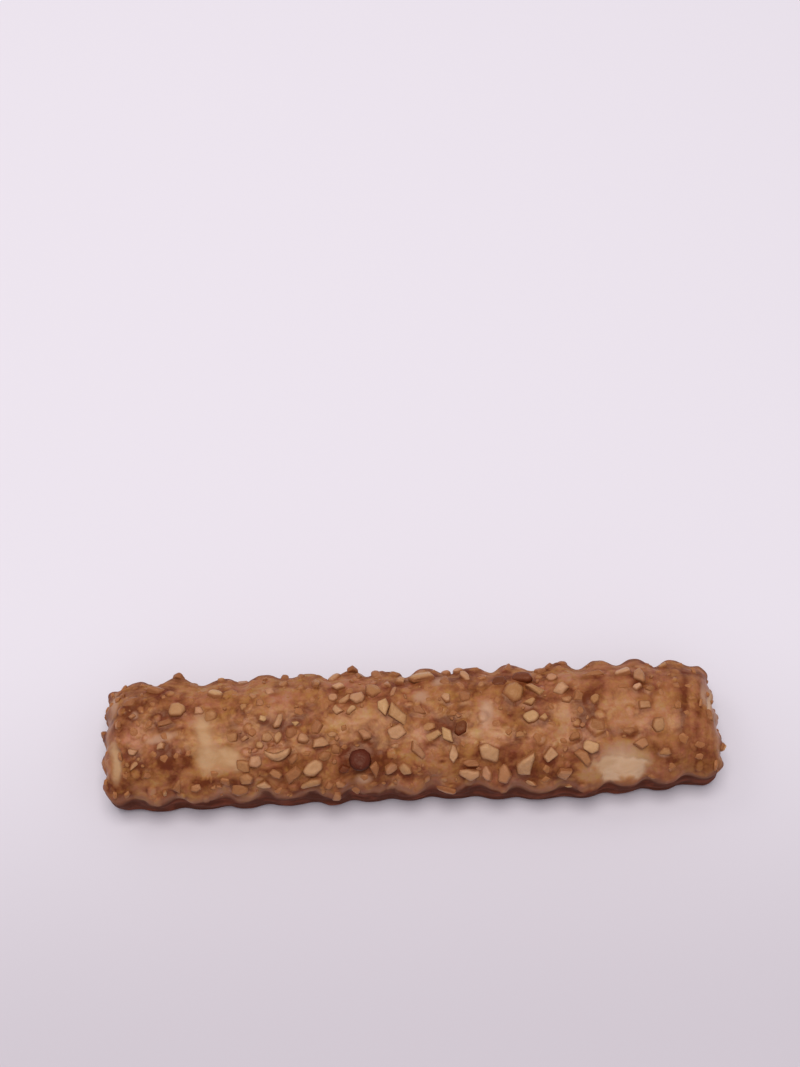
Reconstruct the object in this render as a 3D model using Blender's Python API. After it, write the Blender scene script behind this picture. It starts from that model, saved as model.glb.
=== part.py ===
"""A crinkle-cut, glazed pastry stick with chopped peanuts baked onto it, made as one solid.

Metres, +Z up. X runs along the stick, Y across it with the front at -Y, and the flat underside lies
on z = 0. The crust is a long rounded bar: upright below its lip, which is the widest line, and domed
above. Both long sides follow the same wave, as one wavy knife cuts them. The chips are faceted
scraps of nut, partly sunk in the crust, and one Boolean union joins them all to it.
"""

import math

import bmesh
import bpy
import numpy as np
from mathutils import Matrix, Vector

# Crust, without the chips
HALF_LENGTH = 0.0702
HALF_WIDTH = 0.0139
LIP_HEIGHT = 0.0104
TOP_RISE = 0.0078
FOOT_DEPTH = 0.0108  # reaches below z = 0, where the crust is cut flat to stand on
TOP_FULLNESS = 3.0  # exponent of the dome: 2 is a parabola, more is flatter on top
FOOT_SQUARENESS = 18.0  # exponents of superellipses: 2 is round, 18 is nearly square
END_SQUARENESS = 16.0
END_FALL = 0.7  # share of the dome's rise that is gone at the ends
END_FALL_POWER = 36.0
UNDERCUT = 0.0002  # how far the side stands back under the lip
UNDERCUT_FROM = 0.0015  # depth below the lip at which it is all the way back

# Wave of the long sides, and the closer one of the two ends
FLUTE_PITCH = 0.00963
FLUTE_CREST = 0.0002  # a crest of the front side, near the middle
FLUTE_DEPTH = 0.00088  # half of crest to hollow
FLUTE_DRIFT = 0.75  # radians that the wave strays from its regular step
FOOT_FLUTE = 0.4  # share of the wave that is left at the foot
END_PITCH = 0.0056
END_DEPTH = 0.0004

# Unevenness
SWELL_HEIGHT = 0.00042
SWELL_LENGTHS = (0.011, 0.034)
SWELL_WAVES = 9
RIGHT_SLANT = 0.0017  # how much shorter the right end is at the back
LEFT_SLANT = 0.0004
RIGHT_REACH = 0.0008  # how much longer that end is as a whole
LEFT_REACH = -0.0004
SET_LEFT = 0.0007  # moves it all, so that the middle of its whole length is at x = 0
SLANT_FROM = 0.8  # share of the half length where both start
FRONT_BELLY = 0.0014  # the front side swells out here, right of the middle
BELLY_AT = 0.034
BELLY_LENGTH = 0.017

# Underside: it stands on a flat with slightly hollow edges, and both ends are a little off the table
FLAT_HALF_WIDTH = 0.0106
FLAT_TO = 0.775  # share of the half length where the ends begin to lift
END_LIFT = 0.0005
FLAT_WAIST = 0.03
FLAT_END_HOLLOW = 0.0003
FLAT_BLEND = 0.0003  # depth below z = 0, before the cut, from which a point counts as underside

# Mesh of the crust
ROWS = 88
COLUMNS_ABOVE = 16
WALL_LEVELS = (0.0012, 0.0034, 0.0062, 0.0088, 0.0101)  # below the lip
CORNER_WEIGHT = 2.2  # how closely the corners at the ends are divided, against the rest
CORNER_SHRINKS = (0.6, 0.99)
FINE = 3000  # samples of a curve that is then divided evenly

# The eye that the stick is seen from: its place, how steeply it looks down, how far it is turned from
# +Y towards +X, and the distance at which a length looks as long as it is
EYE = (-0.00809, -0.10564, 0.35947)
EYE_PITCH = math.radians(66.0)
EYE_YAW = math.radians(2.7)
EYE_FOCUS = 0.3571
MIDDLE_RIGHT = 0.00306  # how far the stick's middle is to the right in that view
LIP_BELOW = 0.05863  # how far below the view's middle the front lip shows
LIP_TILT = 0.0505  # how much the lip climbs to the right there, per length
ALONG_SCALE = 1.015  # lengths along it are laid out a little long

# Chips that stand out, by hand, as that eye sees them: millimetres along from the middle and up from
# the front lip, length, width, and turn in degrees from +X
CHIP_RISE = 0.0008  # height of a chip's face over the crust
SHOWN_CHIPS = (
    (-58.0, 26.3, 3.6, 3.0, 35), (-53.5, 21.5, 3.6, 3.2, 5), (-36.2, 8.5, 3.0, 2.7, 20),
    (-38.3, 4.4, 3.2, 2.5, 15), (-34.2, 2.9, 3.4, 2.0, -25), (-21.3, 26.0, 2.5, 1.8, 80),
    (-15.9, 25.0, 2.8, 2.2, -35), (-8.0, 23.6, 3.7, 3.4, 85), (-11.9, 22.0, 3.4, 2.5, 10),
    (-16.4, 19.4, 2.5, 1.4, -40), (-13.4, 19.3, 2.6, 1.2, 40), (-5.9, 19.5, 3.7, 2.5, 90),
    (-2.6, 17.6, 5.6, 2.4, -42), (-30.3, 17.6, 3.6, 1.4, 65), (-21.4, 16.0, 3.4, 2.7, 80),
    (-24.6, 13.4, 2.7, 2.2, -10), (-20.5, 12.0, 3.8, 2.0, -10), (-10.6, 13.6, 3.4, 2.0, -40),
    (-3.0, 13.7, 3.6, 3.0, 20), (-30.8, 10.2, 5.8, 2.0, 5), (-22.7, 6.2, 4.5, 3.2, 35),
    (-27.5, 4.8, 4.1, 2.8, 45), (-31.4, 5.2, 2.5, 1.8, -35), (-23.8, 2.6, 6.0, 1.8, 22),
    (-4.9, 5.2, 3.2, 2.2, 30), (-11.9, 7.8, 5.0, 4.7, 10), (1.3, 9.1, 4.6, 2.1, -58),
    (3.1, 26.2, 5.4, 3.4, 20), (24.3, 21.6, 4.6, 4.4, 30), (29.2, 22.0, 4.5, 2.5, -10),
    (27.8, 19.2, 3.2, 1.8, 10), (35.0, 21.7, 3.4, 2.5, 30), (27.9, 15.8, 3.4, 2.7, 10),
    (8.5, 12.6, 4.0, 2.2, 100), (11.7, 14.0, 3.6, 2.6, 65), (9.5, 8.0, 4.0, 1.9, 85),
    (18.0, 7.8, 5.3, 3.3, -25), (13.0, 3.2, 4.5, 2.7, -15), (21.1, 2.8, 4.2, 2.8, 85),
    (26.4, 5.0, 5.8, 3.3, 80), (32.0, 6.6, 3.5, 2.8, 60), (35.0, 1.8, 3.4, 3.3, 5),
    (49.5, 25.0, 3.8, 2.7, 5), (53.5, 24.0, 4.1, 2.5, 105), (57.1, 12.4, 3.4, 2.7, 90),
    (41.4, 8.0, 3.6, 2.5, -25), (39.5, 5.6, 4.0, 2.0, -45), (26.2, 24.8, 4.6, 2.7, 0),
    (52.9, 8.3, 3.4, 2.2, 5),
)

# Chips scattered by rule, the largest first
SCATTERED_CHIPS = 95
CHIP_SEED = 58
LARGEST_CHIP = 0.0041
CHIP_SHRINK = 0.9945  # length of each chip over the one before it
CHIP_WIDTH = (0.55, 0.95)  # share of the length
CHIP_THICKNESS = (0.00125, 0.0019)
CHIP_OUT = (0.42, 0.62)  # share of the thickness that stands out of the crust
CHIP_TILT = 0.22  # radians
CHIP_SPACING = 0.43  # distance of two chips, over the sum of their lengths
CHIP_TRIES = 400
LOWEST_CHIP = 0.0085
SIDE_SHARE = 0.4  # how many chips the sides and ends keep, against the top
FOOT_SHARE = 0.12
SMOOTH_END_FROM = 0.036  # towards the right the glaze is smoother, with few chips
SMOOTH_END_SHARE = 0.22
LEFT_END_TO = -0.045
LEFT_END_SHARE = 0.6
# Places with neither glaze nor chips, in the same view: along, up, half length, half height
BARE_PATCHES = (
    (-0.0470, 0.0150, 0.0030, 0.0055),
    (-0.0442, 0.0096, 0.0052, 0.0034),
    (0.0484, 0.0030, 0.0068, 0.0036),
)


def signed_power(value, exponent):
    return np.sign(value) * np.abs(value) ** exponent


def smooth_step(value):
    share = np.clip(value, 0.0, 1.0)
    return share * share * (3.0 - 2.0 * share)


def section(turn):
    """Offsets across and up from the lip line's centre: turn 0 is the front lip, pi / 2 the top.

    The upper half is a dome that meets the lip at a slope, and the lower half is nearly a box.
    """
    upper = np.sin(turn) >= 0.0
    box_across = signed_power(np.cos(turn), 2.0 / FOOT_SQUARENESS)
    box_up = FOOT_DEPTH * signed_power(np.sin(turn), 2.0 / FOOT_SQUARENESS)
    dome = TOP_RISE * (1.0 - np.abs(np.cos(turn)) ** TOP_FULLNESS)
    return -HALF_WIDTH * np.where(upper, np.cos(turn), box_across), np.where(upper, dome, box_up)


def swell_waves():
    """Wave vectors and phases of the slow, irregular swell of the crust."""
    rng = np.random.default_rng(11)
    lengths = rng.uniform(*SWELL_LENGTHS, SWELL_WAVES)
    headings = rng.uniform(0.0, math.pi, SWELL_WAVES)
    phases = rng.uniform(0.0, 2.0 * math.pi, SWELL_WAVES)
    return 2.0 * math.pi / lengths, headings, phases


def swell(x, y, z):
    """Sum of sine waves of several lengths and headings, about -1 to 1."""
    total = 0.0
    for rate, heading, phase in zip(*swell_waves()):
        total = total + np.sin(rate * (x * math.cos(heading) + (y + z) * math.sin(heading)) + phase)
    return total / math.sqrt(2.0 * SWELL_WAVES)


def flute(x):
    """Height of the sides' wave at x, -1 to 1, with a slow drift that keeps it from being regular."""
    drift = np.sin(x * 95.0 + 0.8) * 0.6 + np.sin(x * 210.0 + 2.1) * 0.4
    strength = 1.0 + 0.22 * np.sin(x * 330.0 + 1.0)
    return strength * np.cos(2.0 * math.pi * (x - FLUTE_CREST) / FLUTE_PITCH + FLUTE_DRIFT * drift)


def crust(station, shrink, turn):
    """Point of the crust. station runs from -1 to 1 along the stick, shrink is the section's size."""
    across, up = section(turn)
    rise = np.where(up > 0.0, 1.0 - END_FALL * np.abs(station) ** END_FALL_POWER, 1.0)
    x = station * HALF_LENGTH
    y = shrink * across
    z = LIP_HEIGHT + shrink * up * rise
    side = np.abs(y) / HALF_WIDTH
    above = np.clip((z - LIP_HEIGHT) / TOP_RISE, 0.0, 1.0)
    below = np.clip((LIP_HEIGHT - z) / LIP_HEIGHT, 0.0, 1.0)
    level = 1.0 - (1.0 - FOOT_FLUTE) * smooth_step(below * 1.6)
    end = np.abs(station) ** 60.0
    outward = np.sign(station)
    under = smooth_step(-z / FLAT_BLEND)

    undercut = UNDERCUT * smooth_step((LIP_HEIGHT - z) / UNDERCUT_FROM)
    belly = FRONT_BELLY * np.exp(-(((x - BELLY_AT) / BELLY_LENGTH) ** 2)) * np.where(y < 0.0, 1.0, 0.0)
    bumpy = SWELL_HEIGHT * swell(x, y, z) * (1.0 - below)
    aside = -FLUTE_DEPTH * side**4 * level * (1.0 - end) * flute(x)
    aside = aside + np.sign(y) * side**2 * (belly + bumpy - undercut)
    waist = FLAT_WAIST * np.cos(math.pi / 2.0 * station)
    y_new = y + aside * (1.0 - under) - y * waist * under
    lift = END_LIFT * np.clip((np.abs(station) - FLAT_TO) / (1.0 - FLAT_TO), 0.0, 1.0)
    z_new = np.maximum(z + above**0.5 * bumpy, lift)
    wave = END_DEPTH * level * np.cos(2.0 * math.pi * y / END_PITCH + 0.9 * outward)
    x_new = x + outward * end * (wave - undercut)
    back_share = 0.5 + y / (2.0 * HALF_WIDTH)
    leaning = smooth_step((np.abs(station) - SLANT_FROM) / (1.0 - SLANT_FROM))
    slant = np.where(station > 0.0, RIGHT_SLANT, LEFT_SLANT)
    reach = np.where(station > 0.0, RIGHT_REACH, LEFT_REACH)
    x_new = x_new + outward * (reach - slant * back_share) * leaning
    x_new = x_new - outward * under * FLAT_END_HOLLOW * (1.0 - side**2) * np.abs(station) ** 4
    return np.stack([x_new - SET_LEFT, y_new, z_new], axis=-1)


def end_profile():
    """Station and shrink from pole to pole: a superellipse, closely sampled on its flat and its end."""
    corner = 0.5 ** (1.0 / END_SQUARENESS)
    along = np.linspace(0.0, corner, FINE)
    narrowing = np.linspace(corner, 0.0, FINE)[1:]
    station = np.concatenate([along, (1.0 - narrowing**END_SQUARENESS) ** (1.0 / END_SQUARENESS)])
    shrink = np.concatenate([(1.0 - along**END_SQUARENESS) ** (1.0 / END_SQUARENESS), narrowing])
    station = np.concatenate([-station[::-1], station[1:]])
    return station, np.concatenate([shrink[::-1], shrink[1:]])


def run_length(first, second, weight=1.0):
    """Length along a sampled plane curve, from its start to each sample, some of it weighted."""
    steps = np.hypot(np.diff(first), np.diff(second)) * weight
    return np.concatenate([[0.0], np.cumsum(steps)])


def even_rows(count):
    """Stations and shrinks that divide the crust's length, ends included, into equal steps."""
    station, shrink = end_profile()
    corner = (shrink[1:] > CORNER_SHRINKS[0]) & (shrink[1:] < CORNER_SHRINKS[1])
    weight = np.where(corner, CORNER_WEIGHT, 1.0)
    length = run_length(station * HALF_LENGTH, shrink * HALF_WIDTH, weight)
    wanted = np.linspace(0.0, length[-1], count)
    return np.interp(wanted, length, station), np.interp(wanted, length, shrink)


def column_turns():
    """Turns that divide the dome into equal steps, and the foot at its wall levels and flat's edges."""
    turn = np.linspace(0.0, math.pi, FINE)
    length = run_length(*section(turn))
    above = np.interp(np.linspace(0.0, length[-1], COLUMNS_ABOVE + 1)[:-1], length, turn)
    wall = np.arcsin((np.array(WALL_LEVELS) / FOOT_DEPTH) ** (FOOT_SQUARENESS / 2.0))
    edge = math.acos((FLAT_HALF_WIDTH / HALF_WIDTH) ** (FOOT_SQUARENESS / 2.0))
    back = np.concatenate([[0.0], wall, [edge, math.pi / 2.0]])
    front = math.pi - np.concatenate([[edge], wall[::-1]])
    return np.concatenate([above, math.pi + back, math.pi + front])


def crust_mesh():
    """Closed grid over the crust with one point at each end's pole."""
    stations, shrinks = even_rows(ROWS)
    turns = column_turns()
    columns = len(turns)
    rings = crust(stations[1:-1, None], shrinks[1:-1, None], turns[None, :])
    poles = crust(stations[[0, -1]], shrinks[[0, -1]], np.zeros(2))
    shape = bmesh.new()
    left, right = (shape.verts.new(pole) for pole in poles)
    loops = [[shape.verts.new(point) for point in ring] for ring in rings]
    for near, far in zip(loops, loops[1:]):
        for column in range(columns):
            after = (column + 1) % columns
            shape.faces.new((near[column], far[column], far[after], near[after]))
    for column in range(columns):
        after = (column + 1) % columns
        shape.faces.new((left, loops[0][column], loops[0][after]))
        shape.faces.new((right, loops[-1][after], loops[-1][column]))
    bmesh.ops.recalc_face_normals(shape, faces=shape.faces)
    mesh = bpy.data.meshes.new("pastry_stick")
    shape.to_mesh(mesh)
    shape.free()
    return mesh


def surface_frame(station, shrink, turn):
    """Point on the crust with its outward normal and a tangent that runs along the stick."""
    step = 0.002
    here = crust(station, shrink, turn)
    further = 1.0 - smooth_step((abs(station) - 0.9) / 0.05)
    if further > 0.5:
        along = crust(station + step, shrink, turn) - crust(station - step, shrink, turn)
    else:
        along = crust(station, shrink - step * 8.0, turn) - crust(station, shrink, turn)
    round_step = 0.02
    around = crust(station, shrink, turn + round_step) - crust(station, shrink, turn - round_step)
    normal = Vector(np.cross(along, around))
    centre = Vector((np.clip(here[0], -HALF_LENGTH * 0.9, HALF_LENGTH * 0.9), 0.0, LIP_HEIGHT))
    if normal.dot(Vector(here) - centre) < 0.0:
        normal.negate()
    return Vector(here), normal.normalized(), Vector(along).normalized()


def look(points):
    """Where the eye sees points: metres along the lip from the stick's middle, and up from the lip."""
    level = np.array([math.sin(EYE_YAW), math.cos(EYE_YAW), 0.0])
    right = np.array([math.cos(EYE_YAW), -math.sin(EYE_YAW), 0.0])
    plumb = np.array([0.0, 0.0, 1.0])
    upward = level * math.sin(EYE_PITCH) + plumb * math.cos(EYE_PITCH)
    ahead = level * math.cos(EYE_PITCH) - plumb * math.sin(EYE_PITCH)
    offset = points - np.array(EYE)
    depth = offset @ ahead
    along = EYE_FOCUS * (offset @ right) / depth
    up = EYE_FOCUS * (offset @ upward) / depth + LIP_BELOW - LIP_TILT * along
    return (along - MIDDLE_RIGHT + LIP_TILT * up) * ALONG_SCALE, up


def shown_places():
    """Station, shrink and turn of each chip in SHOWN_CHIPS, read back from how the face looks."""
    turns = np.linspace(0.0, math.pi, FINE)
    for along, seen, length, width, heading in SHOWN_CHIPS:
        station = along * 0.001 / HALF_LENGTH
        for _ in range(4):
            shrink = (1.0 - min(abs(station), 0.999) ** END_SQUARENESS) ** (1.0 / END_SQUARENESS)
            points = crust(station, shrink, turns)
            step = np.gradient(points, axis=0)
            outward = np.stack([np.zeros(FINE), -step[:, 2], step[:, 1]], axis=-1)
            outward /= np.linalg.norm(outward, axis=1, keepdims=True)
            along_seen, up_seen = look(points + CHIP_RISE * outward)
            last = int(np.argmax(up_seen))
            turn = float(np.interp(seen * 0.001, up_seen[:last], turns[:last]))
            station += (along * 0.001 - float(np.interp(turn, turns, along_seen))) / HALF_LENGTH
        yield station, shrink, turn, length * 0.001, width * 0.001, math.radians(heading)


def chip_share(point, normal):
    """How likely a chip is kept at a point of the crust, 0 to 1."""
    x, _, z = point
    if z < LOWEST_CHIP:
        return 0.0
    along, up = look(np.array(point))
    for middle, height, half_length, half_height in BARE_PATCHES:
        if math.hypot((along - middle) / half_length, (up - height) / half_height) < 1.0:
            return 0.0
    share = 1.0 if normal.z > 0.55 else SIDE_SHARE
    if z < LIP_HEIGHT or abs(normal.x) > 0.7:
        share = FOOT_SHARE
    if x > SMOOTH_END_FROM:
        share *= SMOOTH_END_SHARE
    if x < LEFT_END_TO:
        share *= LEFT_END_SHARE
    return share


def chip_list():
    """Every chip as (point, normal, tangent, length, width, thickness, out, heading)."""
    rng = np.random.default_rng(CHIP_SEED)
    chips = []
    for station, shrink, turn, length, width, heading in shown_places():
        point, normal, tangent = surface_frame(station, shrink, turn)
        thickness = min(CHIP_THICKNESS[0] + 0.12 * length, CHIP_THICKNESS[1])
        chips.append((point, normal, tangent, length, width, thickness, CHIP_OUT[1], heading))

    stations, shrinks = end_profile()
    length_run = run_length(stations * HALF_LENGTH, shrinks * HALF_WIDTH)
    turns = np.linspace(0.0, 2.0 * math.pi, 2 * FINE)
    turn_run = run_length(*section(turns))
    length = LARGEST_CHIP
    for _ in range(SCATTERED_CHIPS):
        for _ in range(CHIP_TRIES):
            along, around, keep = rng.random(3)
            station = float(np.interp(along * length_run[-1], length_run, stations))
            shrink = float(np.interp(along * length_run[-1], length_run, shrinks))
            turn = float(np.interp(around * turn_run[-1], turn_run, turns))
            if shrink < 0.15:
                continue
            point, normal, tangent = surface_frame(station, shrink, turn)
            if keep > chip_share(point, normal) * shrink:
                continue
            if all((point - chip[0]).length > CHIP_SPACING * (length + chip[3]) for chip in chips):
                width = length * rng.uniform(*CHIP_WIDTH)
                thickness = rng.uniform(*CHIP_THICKNESS)
                out = rng.uniform(*CHIP_OUT)
                heading = rng.uniform(0.0, math.pi)
                chips.append((point, normal, tangent, length, width, thickness, out, heading))
                break
        length *= CHIP_SHRINK
    return chips


def chip_points(rng, length, width, thickness):
    """Corners of a chopped scrap: an uneven outline of four to six corners, and a smaller top."""
    count = int(rng.integers(4, 7))
    angle = (np.arange(count) + rng.uniform(-0.3, 0.3, count)) * 2.0 * math.pi / count
    angle = angle + rng.uniform(0.0, 2.0 * math.pi)
    reach = 1.08 * (np.abs(np.cos(angle)) ** 2.6 + np.abs(np.sin(angle)) ** 2.6) ** (-1.0 / 2.6)
    outline = np.stack([np.cos(angle) * reach, np.sin(angle) * reach], axis=-1)
    outline = outline * rng.uniform(0.86, 1.06, (count, 1))
    foot = np.column_stack([outline, -rng.uniform(0.7, 1.0, count)])
    top = np.column_stack([outline * rng.uniform(0.5, 0.86, (count, 1)), rng.uniform(0.55, 1.0, count)])
    return np.concatenate([foot, top]) * np.array([length, width, thickness]) / 2.0


def chip_object(index, chip, rng, collection, material):
    """Convex hull of a chip's corners, laid on the crust's normal, turned, tilted and sunk."""
    point, normal, tangent, length, width, thickness, out, heading = chip
    corners = chip_points(rng, length, width, thickness)
    tangent = (tangent - normal * tangent.dot(normal)).normalized()
    frame = Matrix((tangent, normal.cross(tangent), normal)).transposed()
    tilt = Matrix.Rotation(rng.uniform(-CHIP_TILT, CHIP_TILT), 3, "X")
    tilt = tilt @ Matrix.Rotation(rng.uniform(-CHIP_TILT, CHIP_TILT), 3, "Y")
    turned = frame @ Matrix.Rotation(heading, 3, "Z") @ tilt
    middle = point + normal * thickness * (out - 0.5)
    shape = bmesh.new()
    for corner in corners:
        shape.verts.new(middle + turned @ Vector(corner))
    hull = bmesh.ops.convex_hull(shape, input=shape.verts)
    inner = [item for item in hull["geom_interior"] if isinstance(item, bmesh.types.BMVert)]
    bmesh.ops.delete(shape, geom=inner, context="VERTS")
    bmesh.ops.recalc_face_normals(shape, faces=shape.faces)
    mesh = bpy.data.meshes.new(f"chip_{index}")
    shape.to_mesh(mesh)
    shape.free()
    mesh.materials.append(material)
    collection.objects.link(bpy.data.objects.new(f"chip_{index}", mesh))


def keep_outer_shell(mesh):
    """Deletes all but the largest connected shell, so that no scrap or sealed hollow is left."""
    shape = bmesh.new()
    shape.from_mesh(mesh)
    left = set(shape.verts)
    shells = []
    while left:
        shell = {left.pop()}
        front = list(shell)
        while front:
            for edge in front.pop().link_edges:
                for vert in edge.verts:
                    if vert in left:
                        left.remove(vert)
                        shell.add(vert)
                        front.append(vert)
        shells.append(shell)
    outer = max(shells, key=len)
    loose = [vert for vert in shape.verts if vert not in outer]
    bmesh.ops.delete(shape, geom=loose, context="VERTS")
    shape.to_mesh(mesh)
    shape.free()


def material(name, color, roughness):
    made = bpy.data.materials.new(name)
    made.use_nodes = True
    shader = made.node_tree.nodes["Principled BSDF"]
    shader.inputs["Base Color"].default_value = (*color, 1.0)
    shader.inputs["Roughness"].default_value = roughness
    shader.inputs["Metallic"].default_value = 0.0
    return made


def fuse(body, collection):
    """One Boolean union of the body with everything in the collection, applied."""
    union = body.modifiers.new("chips", "BOOLEAN")
    union.operation = "UNION"
    union.operand_type = "COLLECTION"
    union.solver = "EXACT"
    union.collection = collection
    bpy.context.view_layer.update()
    graph = bpy.context.evaluated_depsgraph_get()
    joined = bpy.data.meshes.new_from_object(body.evaluated_get(graph))
    body.modifiers.remove(union)
    joined.name = body.name
    body.data = joined
    for piece in list(collection.objects):
        bpy.data.objects.remove(piece, do_unlink=True)
    bpy.data.collections.remove(collection)


def main():
    for old in list(bpy.data.objects):
        bpy.data.objects.remove(old, do_unlink=True)

    glazed_crust = material("glazed_crust", (0.42, 0.19, 0.075), 0.4)
    chopped_peanut = material("chopped_peanut", (0.66, 0.42, 0.22), 0.5)
    stick = bpy.data.objects.new("pastry_stick", crust_mesh())
    bpy.context.scene.collection.objects.link(stick)
    stick.data.materials.append(glazed_crust)
    stick.data.materials.append(chopped_peanut)

    chips = bpy.data.collections.new("chips")
    bpy.context.scene.collection.children.link(chips)
    rng = np.random.default_rng(CHIP_SEED + 1)
    for index, chip in enumerate(chip_list()):
        chip_object(index, chip, rng, chips, chopped_peanut)
    fuse(stick, chips)
    keep_outer_shell(stick.data)


main()
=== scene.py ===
"""A glazed, crinkle-cut pastry stick with chopped peanuts, on a pale floor in soft light.

Metres, +Z up. X runs along the stick, Y across it with the front at -Y, and it stands on z = 0. The
crust is one grid surface: the rounded bar of the solid, with the relief of its glaze added along the
normals. A point of it is given by its station, -1 to 1 along the stick, by the share that its section
has shrunk to, which falls to 0 at the poles of the blunt ends, and by its turn round the section. The
peanuts are scraps with flat cut faces, sunk in the glaze.
"""

import math
from collections import namedtuple

import bmesh
import bpy
import numpy as np
from bpy.props import FloatProperty, FloatVectorProperty, IntProperty, PointerProperty
from mathutils import Matrix, Vector


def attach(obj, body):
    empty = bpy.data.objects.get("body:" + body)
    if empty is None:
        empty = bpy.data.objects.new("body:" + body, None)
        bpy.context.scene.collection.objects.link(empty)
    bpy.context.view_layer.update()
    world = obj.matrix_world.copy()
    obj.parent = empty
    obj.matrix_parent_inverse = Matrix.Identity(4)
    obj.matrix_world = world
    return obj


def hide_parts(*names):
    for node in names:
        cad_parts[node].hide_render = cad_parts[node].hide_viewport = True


bl_info = {
    "name": "Peanut Pastry Stick",
    "version": (1, 0, 0),
    "blender": (4, 5, 0),
    "location": "3D View > Sidebar > Pastry",
    "description": "Makes a glazed pastry stick with chopped peanuts, and a small studio for it",
    "category": "Add Mesh",
}

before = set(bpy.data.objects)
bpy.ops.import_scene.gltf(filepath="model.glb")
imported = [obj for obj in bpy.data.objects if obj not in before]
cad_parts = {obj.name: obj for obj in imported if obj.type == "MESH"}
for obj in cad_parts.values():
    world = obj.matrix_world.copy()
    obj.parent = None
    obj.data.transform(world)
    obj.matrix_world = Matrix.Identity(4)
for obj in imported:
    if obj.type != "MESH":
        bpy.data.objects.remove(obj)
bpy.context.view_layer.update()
NODE = "pastry_stick"
BODY = "root"
MM = 0.001

# Crust
LIP_FALL = 0.7  # share of the dome's rise that is gone at the ends
LIP_FALL_POWER = 36.0
FOOT_DEPTH = 0.0108
TOP_FULLNESS = 3.0
FOOT_SQUARENESS = 18.0
END_SQUARENESS = 16.0
END_POWER = 60.0  # how suddenly the sides turn into the ends
UNDERCUT_FROM = 0.0015
UNDERSIDE_BLEND = 0.0003
FLUTE_CREST = 0.0002
FLUTE_NARROWING = 1.45  # above 1 the hollows are narrower than the crests
FLUTE_DRIFT = 0.75
DRIFT_WAVES = ((95.0, 0.8, 0.6), (210.0, 2.1, 0.4))  # rate, phase and size
STRENGTH_WAVE = (330.0, 1.0, 0.22)
FOOT_FLUTE = 0.4
FLUTE_FADE = 1.6  # how soon the wave weakens below the lip
END_PITCH = 0.0056
END_DEPTH = 0.0004
END_PHASE = 0.9
SWELL_SEED = 11
SWELL_HEIGHT = 0.00042
SWELL_LENGTHS = (0.011, 0.034)
SWELL_WAVES = 9
RIGHT_SLANT = 0.0017
LEFT_SLANT = 0.0004
RIGHT_REACH = 0.0008
LEFT_REACH = -0.0004
SET_LEFT = 0.0007  # moves it all, so that the middle of its whole length is at x = 0
SLANT_FROM = 0.8
FRONT_BELLY = 0.0014
BELLY_AT = 0.034
BELLY_LENGTH = 0.017
FLAT_TO = 0.775
END_LIFT = 0.0005
SMOOTH_END_FROM = 0.036  # towards its right end the stick is smoother and has fewer scraps

# Layers of noise: strength, in millimetres for the relief, then size, seed and stretch
GLAZE_LAYERS = (
    (0.19, 0.0046, 1, 1.0),
    (0.12, 0.0023, 2, 1.0),
    (0.03, 0.0012, 3, 1.0),
    (0.01, 0.0006, 4, 1.0),
)
SIDE_LAYERS = ((0.26, 0.003, 5, 1.0), (0.2, 0.0012, 6, (0.35, 1.0, 1.0)))
RAGGED_LAYERS = ((0.9, 0.0022, 7, 1.0), (0.5, 0.0009, 8, 1.0))
TONE_LAYERS = ((0.5, 0.011, 9, 1.0), (0.35, 0.0055, 10, 1.0))
BROKEN_LAYERS = ((1.6, 0.0016, 13, 1.0),)
WANDER_LAYERS = ((0.0008, 0.0035, 12, (1.0, 0.2, 0.2)), (0.0005, 0.0013, 14, (1.0, 0.4, 0.4)))
SMOOTH_END_CALM = 0.4
SMOOTH_END_BLEND = 0.008
BARE_CALM = 0.7
BARE_SUNK = 0.32  # millimetres
POLE_CALM = (0.04, 0.15)  # shrink at which the relief starts near a pole, and over which it grows
FLAT_UNDERSIDE = 0.9  # share of underside from which the relief doesn't move a point up or down
CAVITY_REACH = 4  # steps of the grid
CAVITY_DEPTH = 0.16  # millimetres

# Edges of the glaze: its place over the lip and the foot, how softly it ends, and its rim in millimetres
LIP_EDGE = 0.0006
LIP_BLEND = 0.0009
FOOT_EDGE = 0.0012
FOOT_BLEND = 0.001
RIM_HEIGHT = 0.35
RIM_BREADTH = 0.6
RIM_RAGGED = 0.25
BARE_RAGGED = 0.3
BARE_SPREAD = 0.35
PALE_RAGGED = 0.25
PALE_END = 1.25
SMEAR_END = 1.2  # no scattered scrap lies on the large smear, nor this close round it
TOWARD_EYE = (-0.1, 0.4)  # marks fade out on faces that turn from the eye: from where, and how softly

# Round each scrap: how far off the glaze may change, and the breadths of its climb, of the shade painted
# round it and of the browner glaze where scraps crowd, which is painted shade
SCRAP_REACH = 0.003
CLIMB_BREADTH = 0.00038
SHADE_BREADTH = 0.0005
SHADE_SHIFT = np.array([-0.00008, 0.0002, 0.0])  # towards the light
SHADE_BROKEN = 0.4
CROWD_BREADTH = 0.0011
CROWD_LIMIT = 1.6
# The glaze is darker where scraps crowd: painted shade between them
CROWD_SHADE = 0.2
OPEN_LIGHTENING = 0.07
TONE_STRENGTH = 1.35
TONE_SEEN = 0.55  # share of the wide tone noise that the listed marks take the place of

# Lumps of glaze over crumbs; distances from their middles count in their radii
LUMPS = 230
LUMP_SEED = 23
LUMP_RADIUS = (0.0004, 0.0014)
LUMP_HEIGHT = (0.1, 0.32)  # millimetres
LUMP_FULL_RADIUS = 0.0008  # smaller ones are lower
LUMP_STRETCH = (0.5, 1.0)
LUMP_REACH = 2.2
LUMP_RAGGED = 0.22
LUMP_EDGE = (1.2, 0.5)
LUMP_RIM = (1.15, 0.3)
LUMP_RIM_SHADE = 0.6
LUMP_RIM_FULL = 0.2  # millimetres
SMOOTH_END_LUMPS = 0.35

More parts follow.
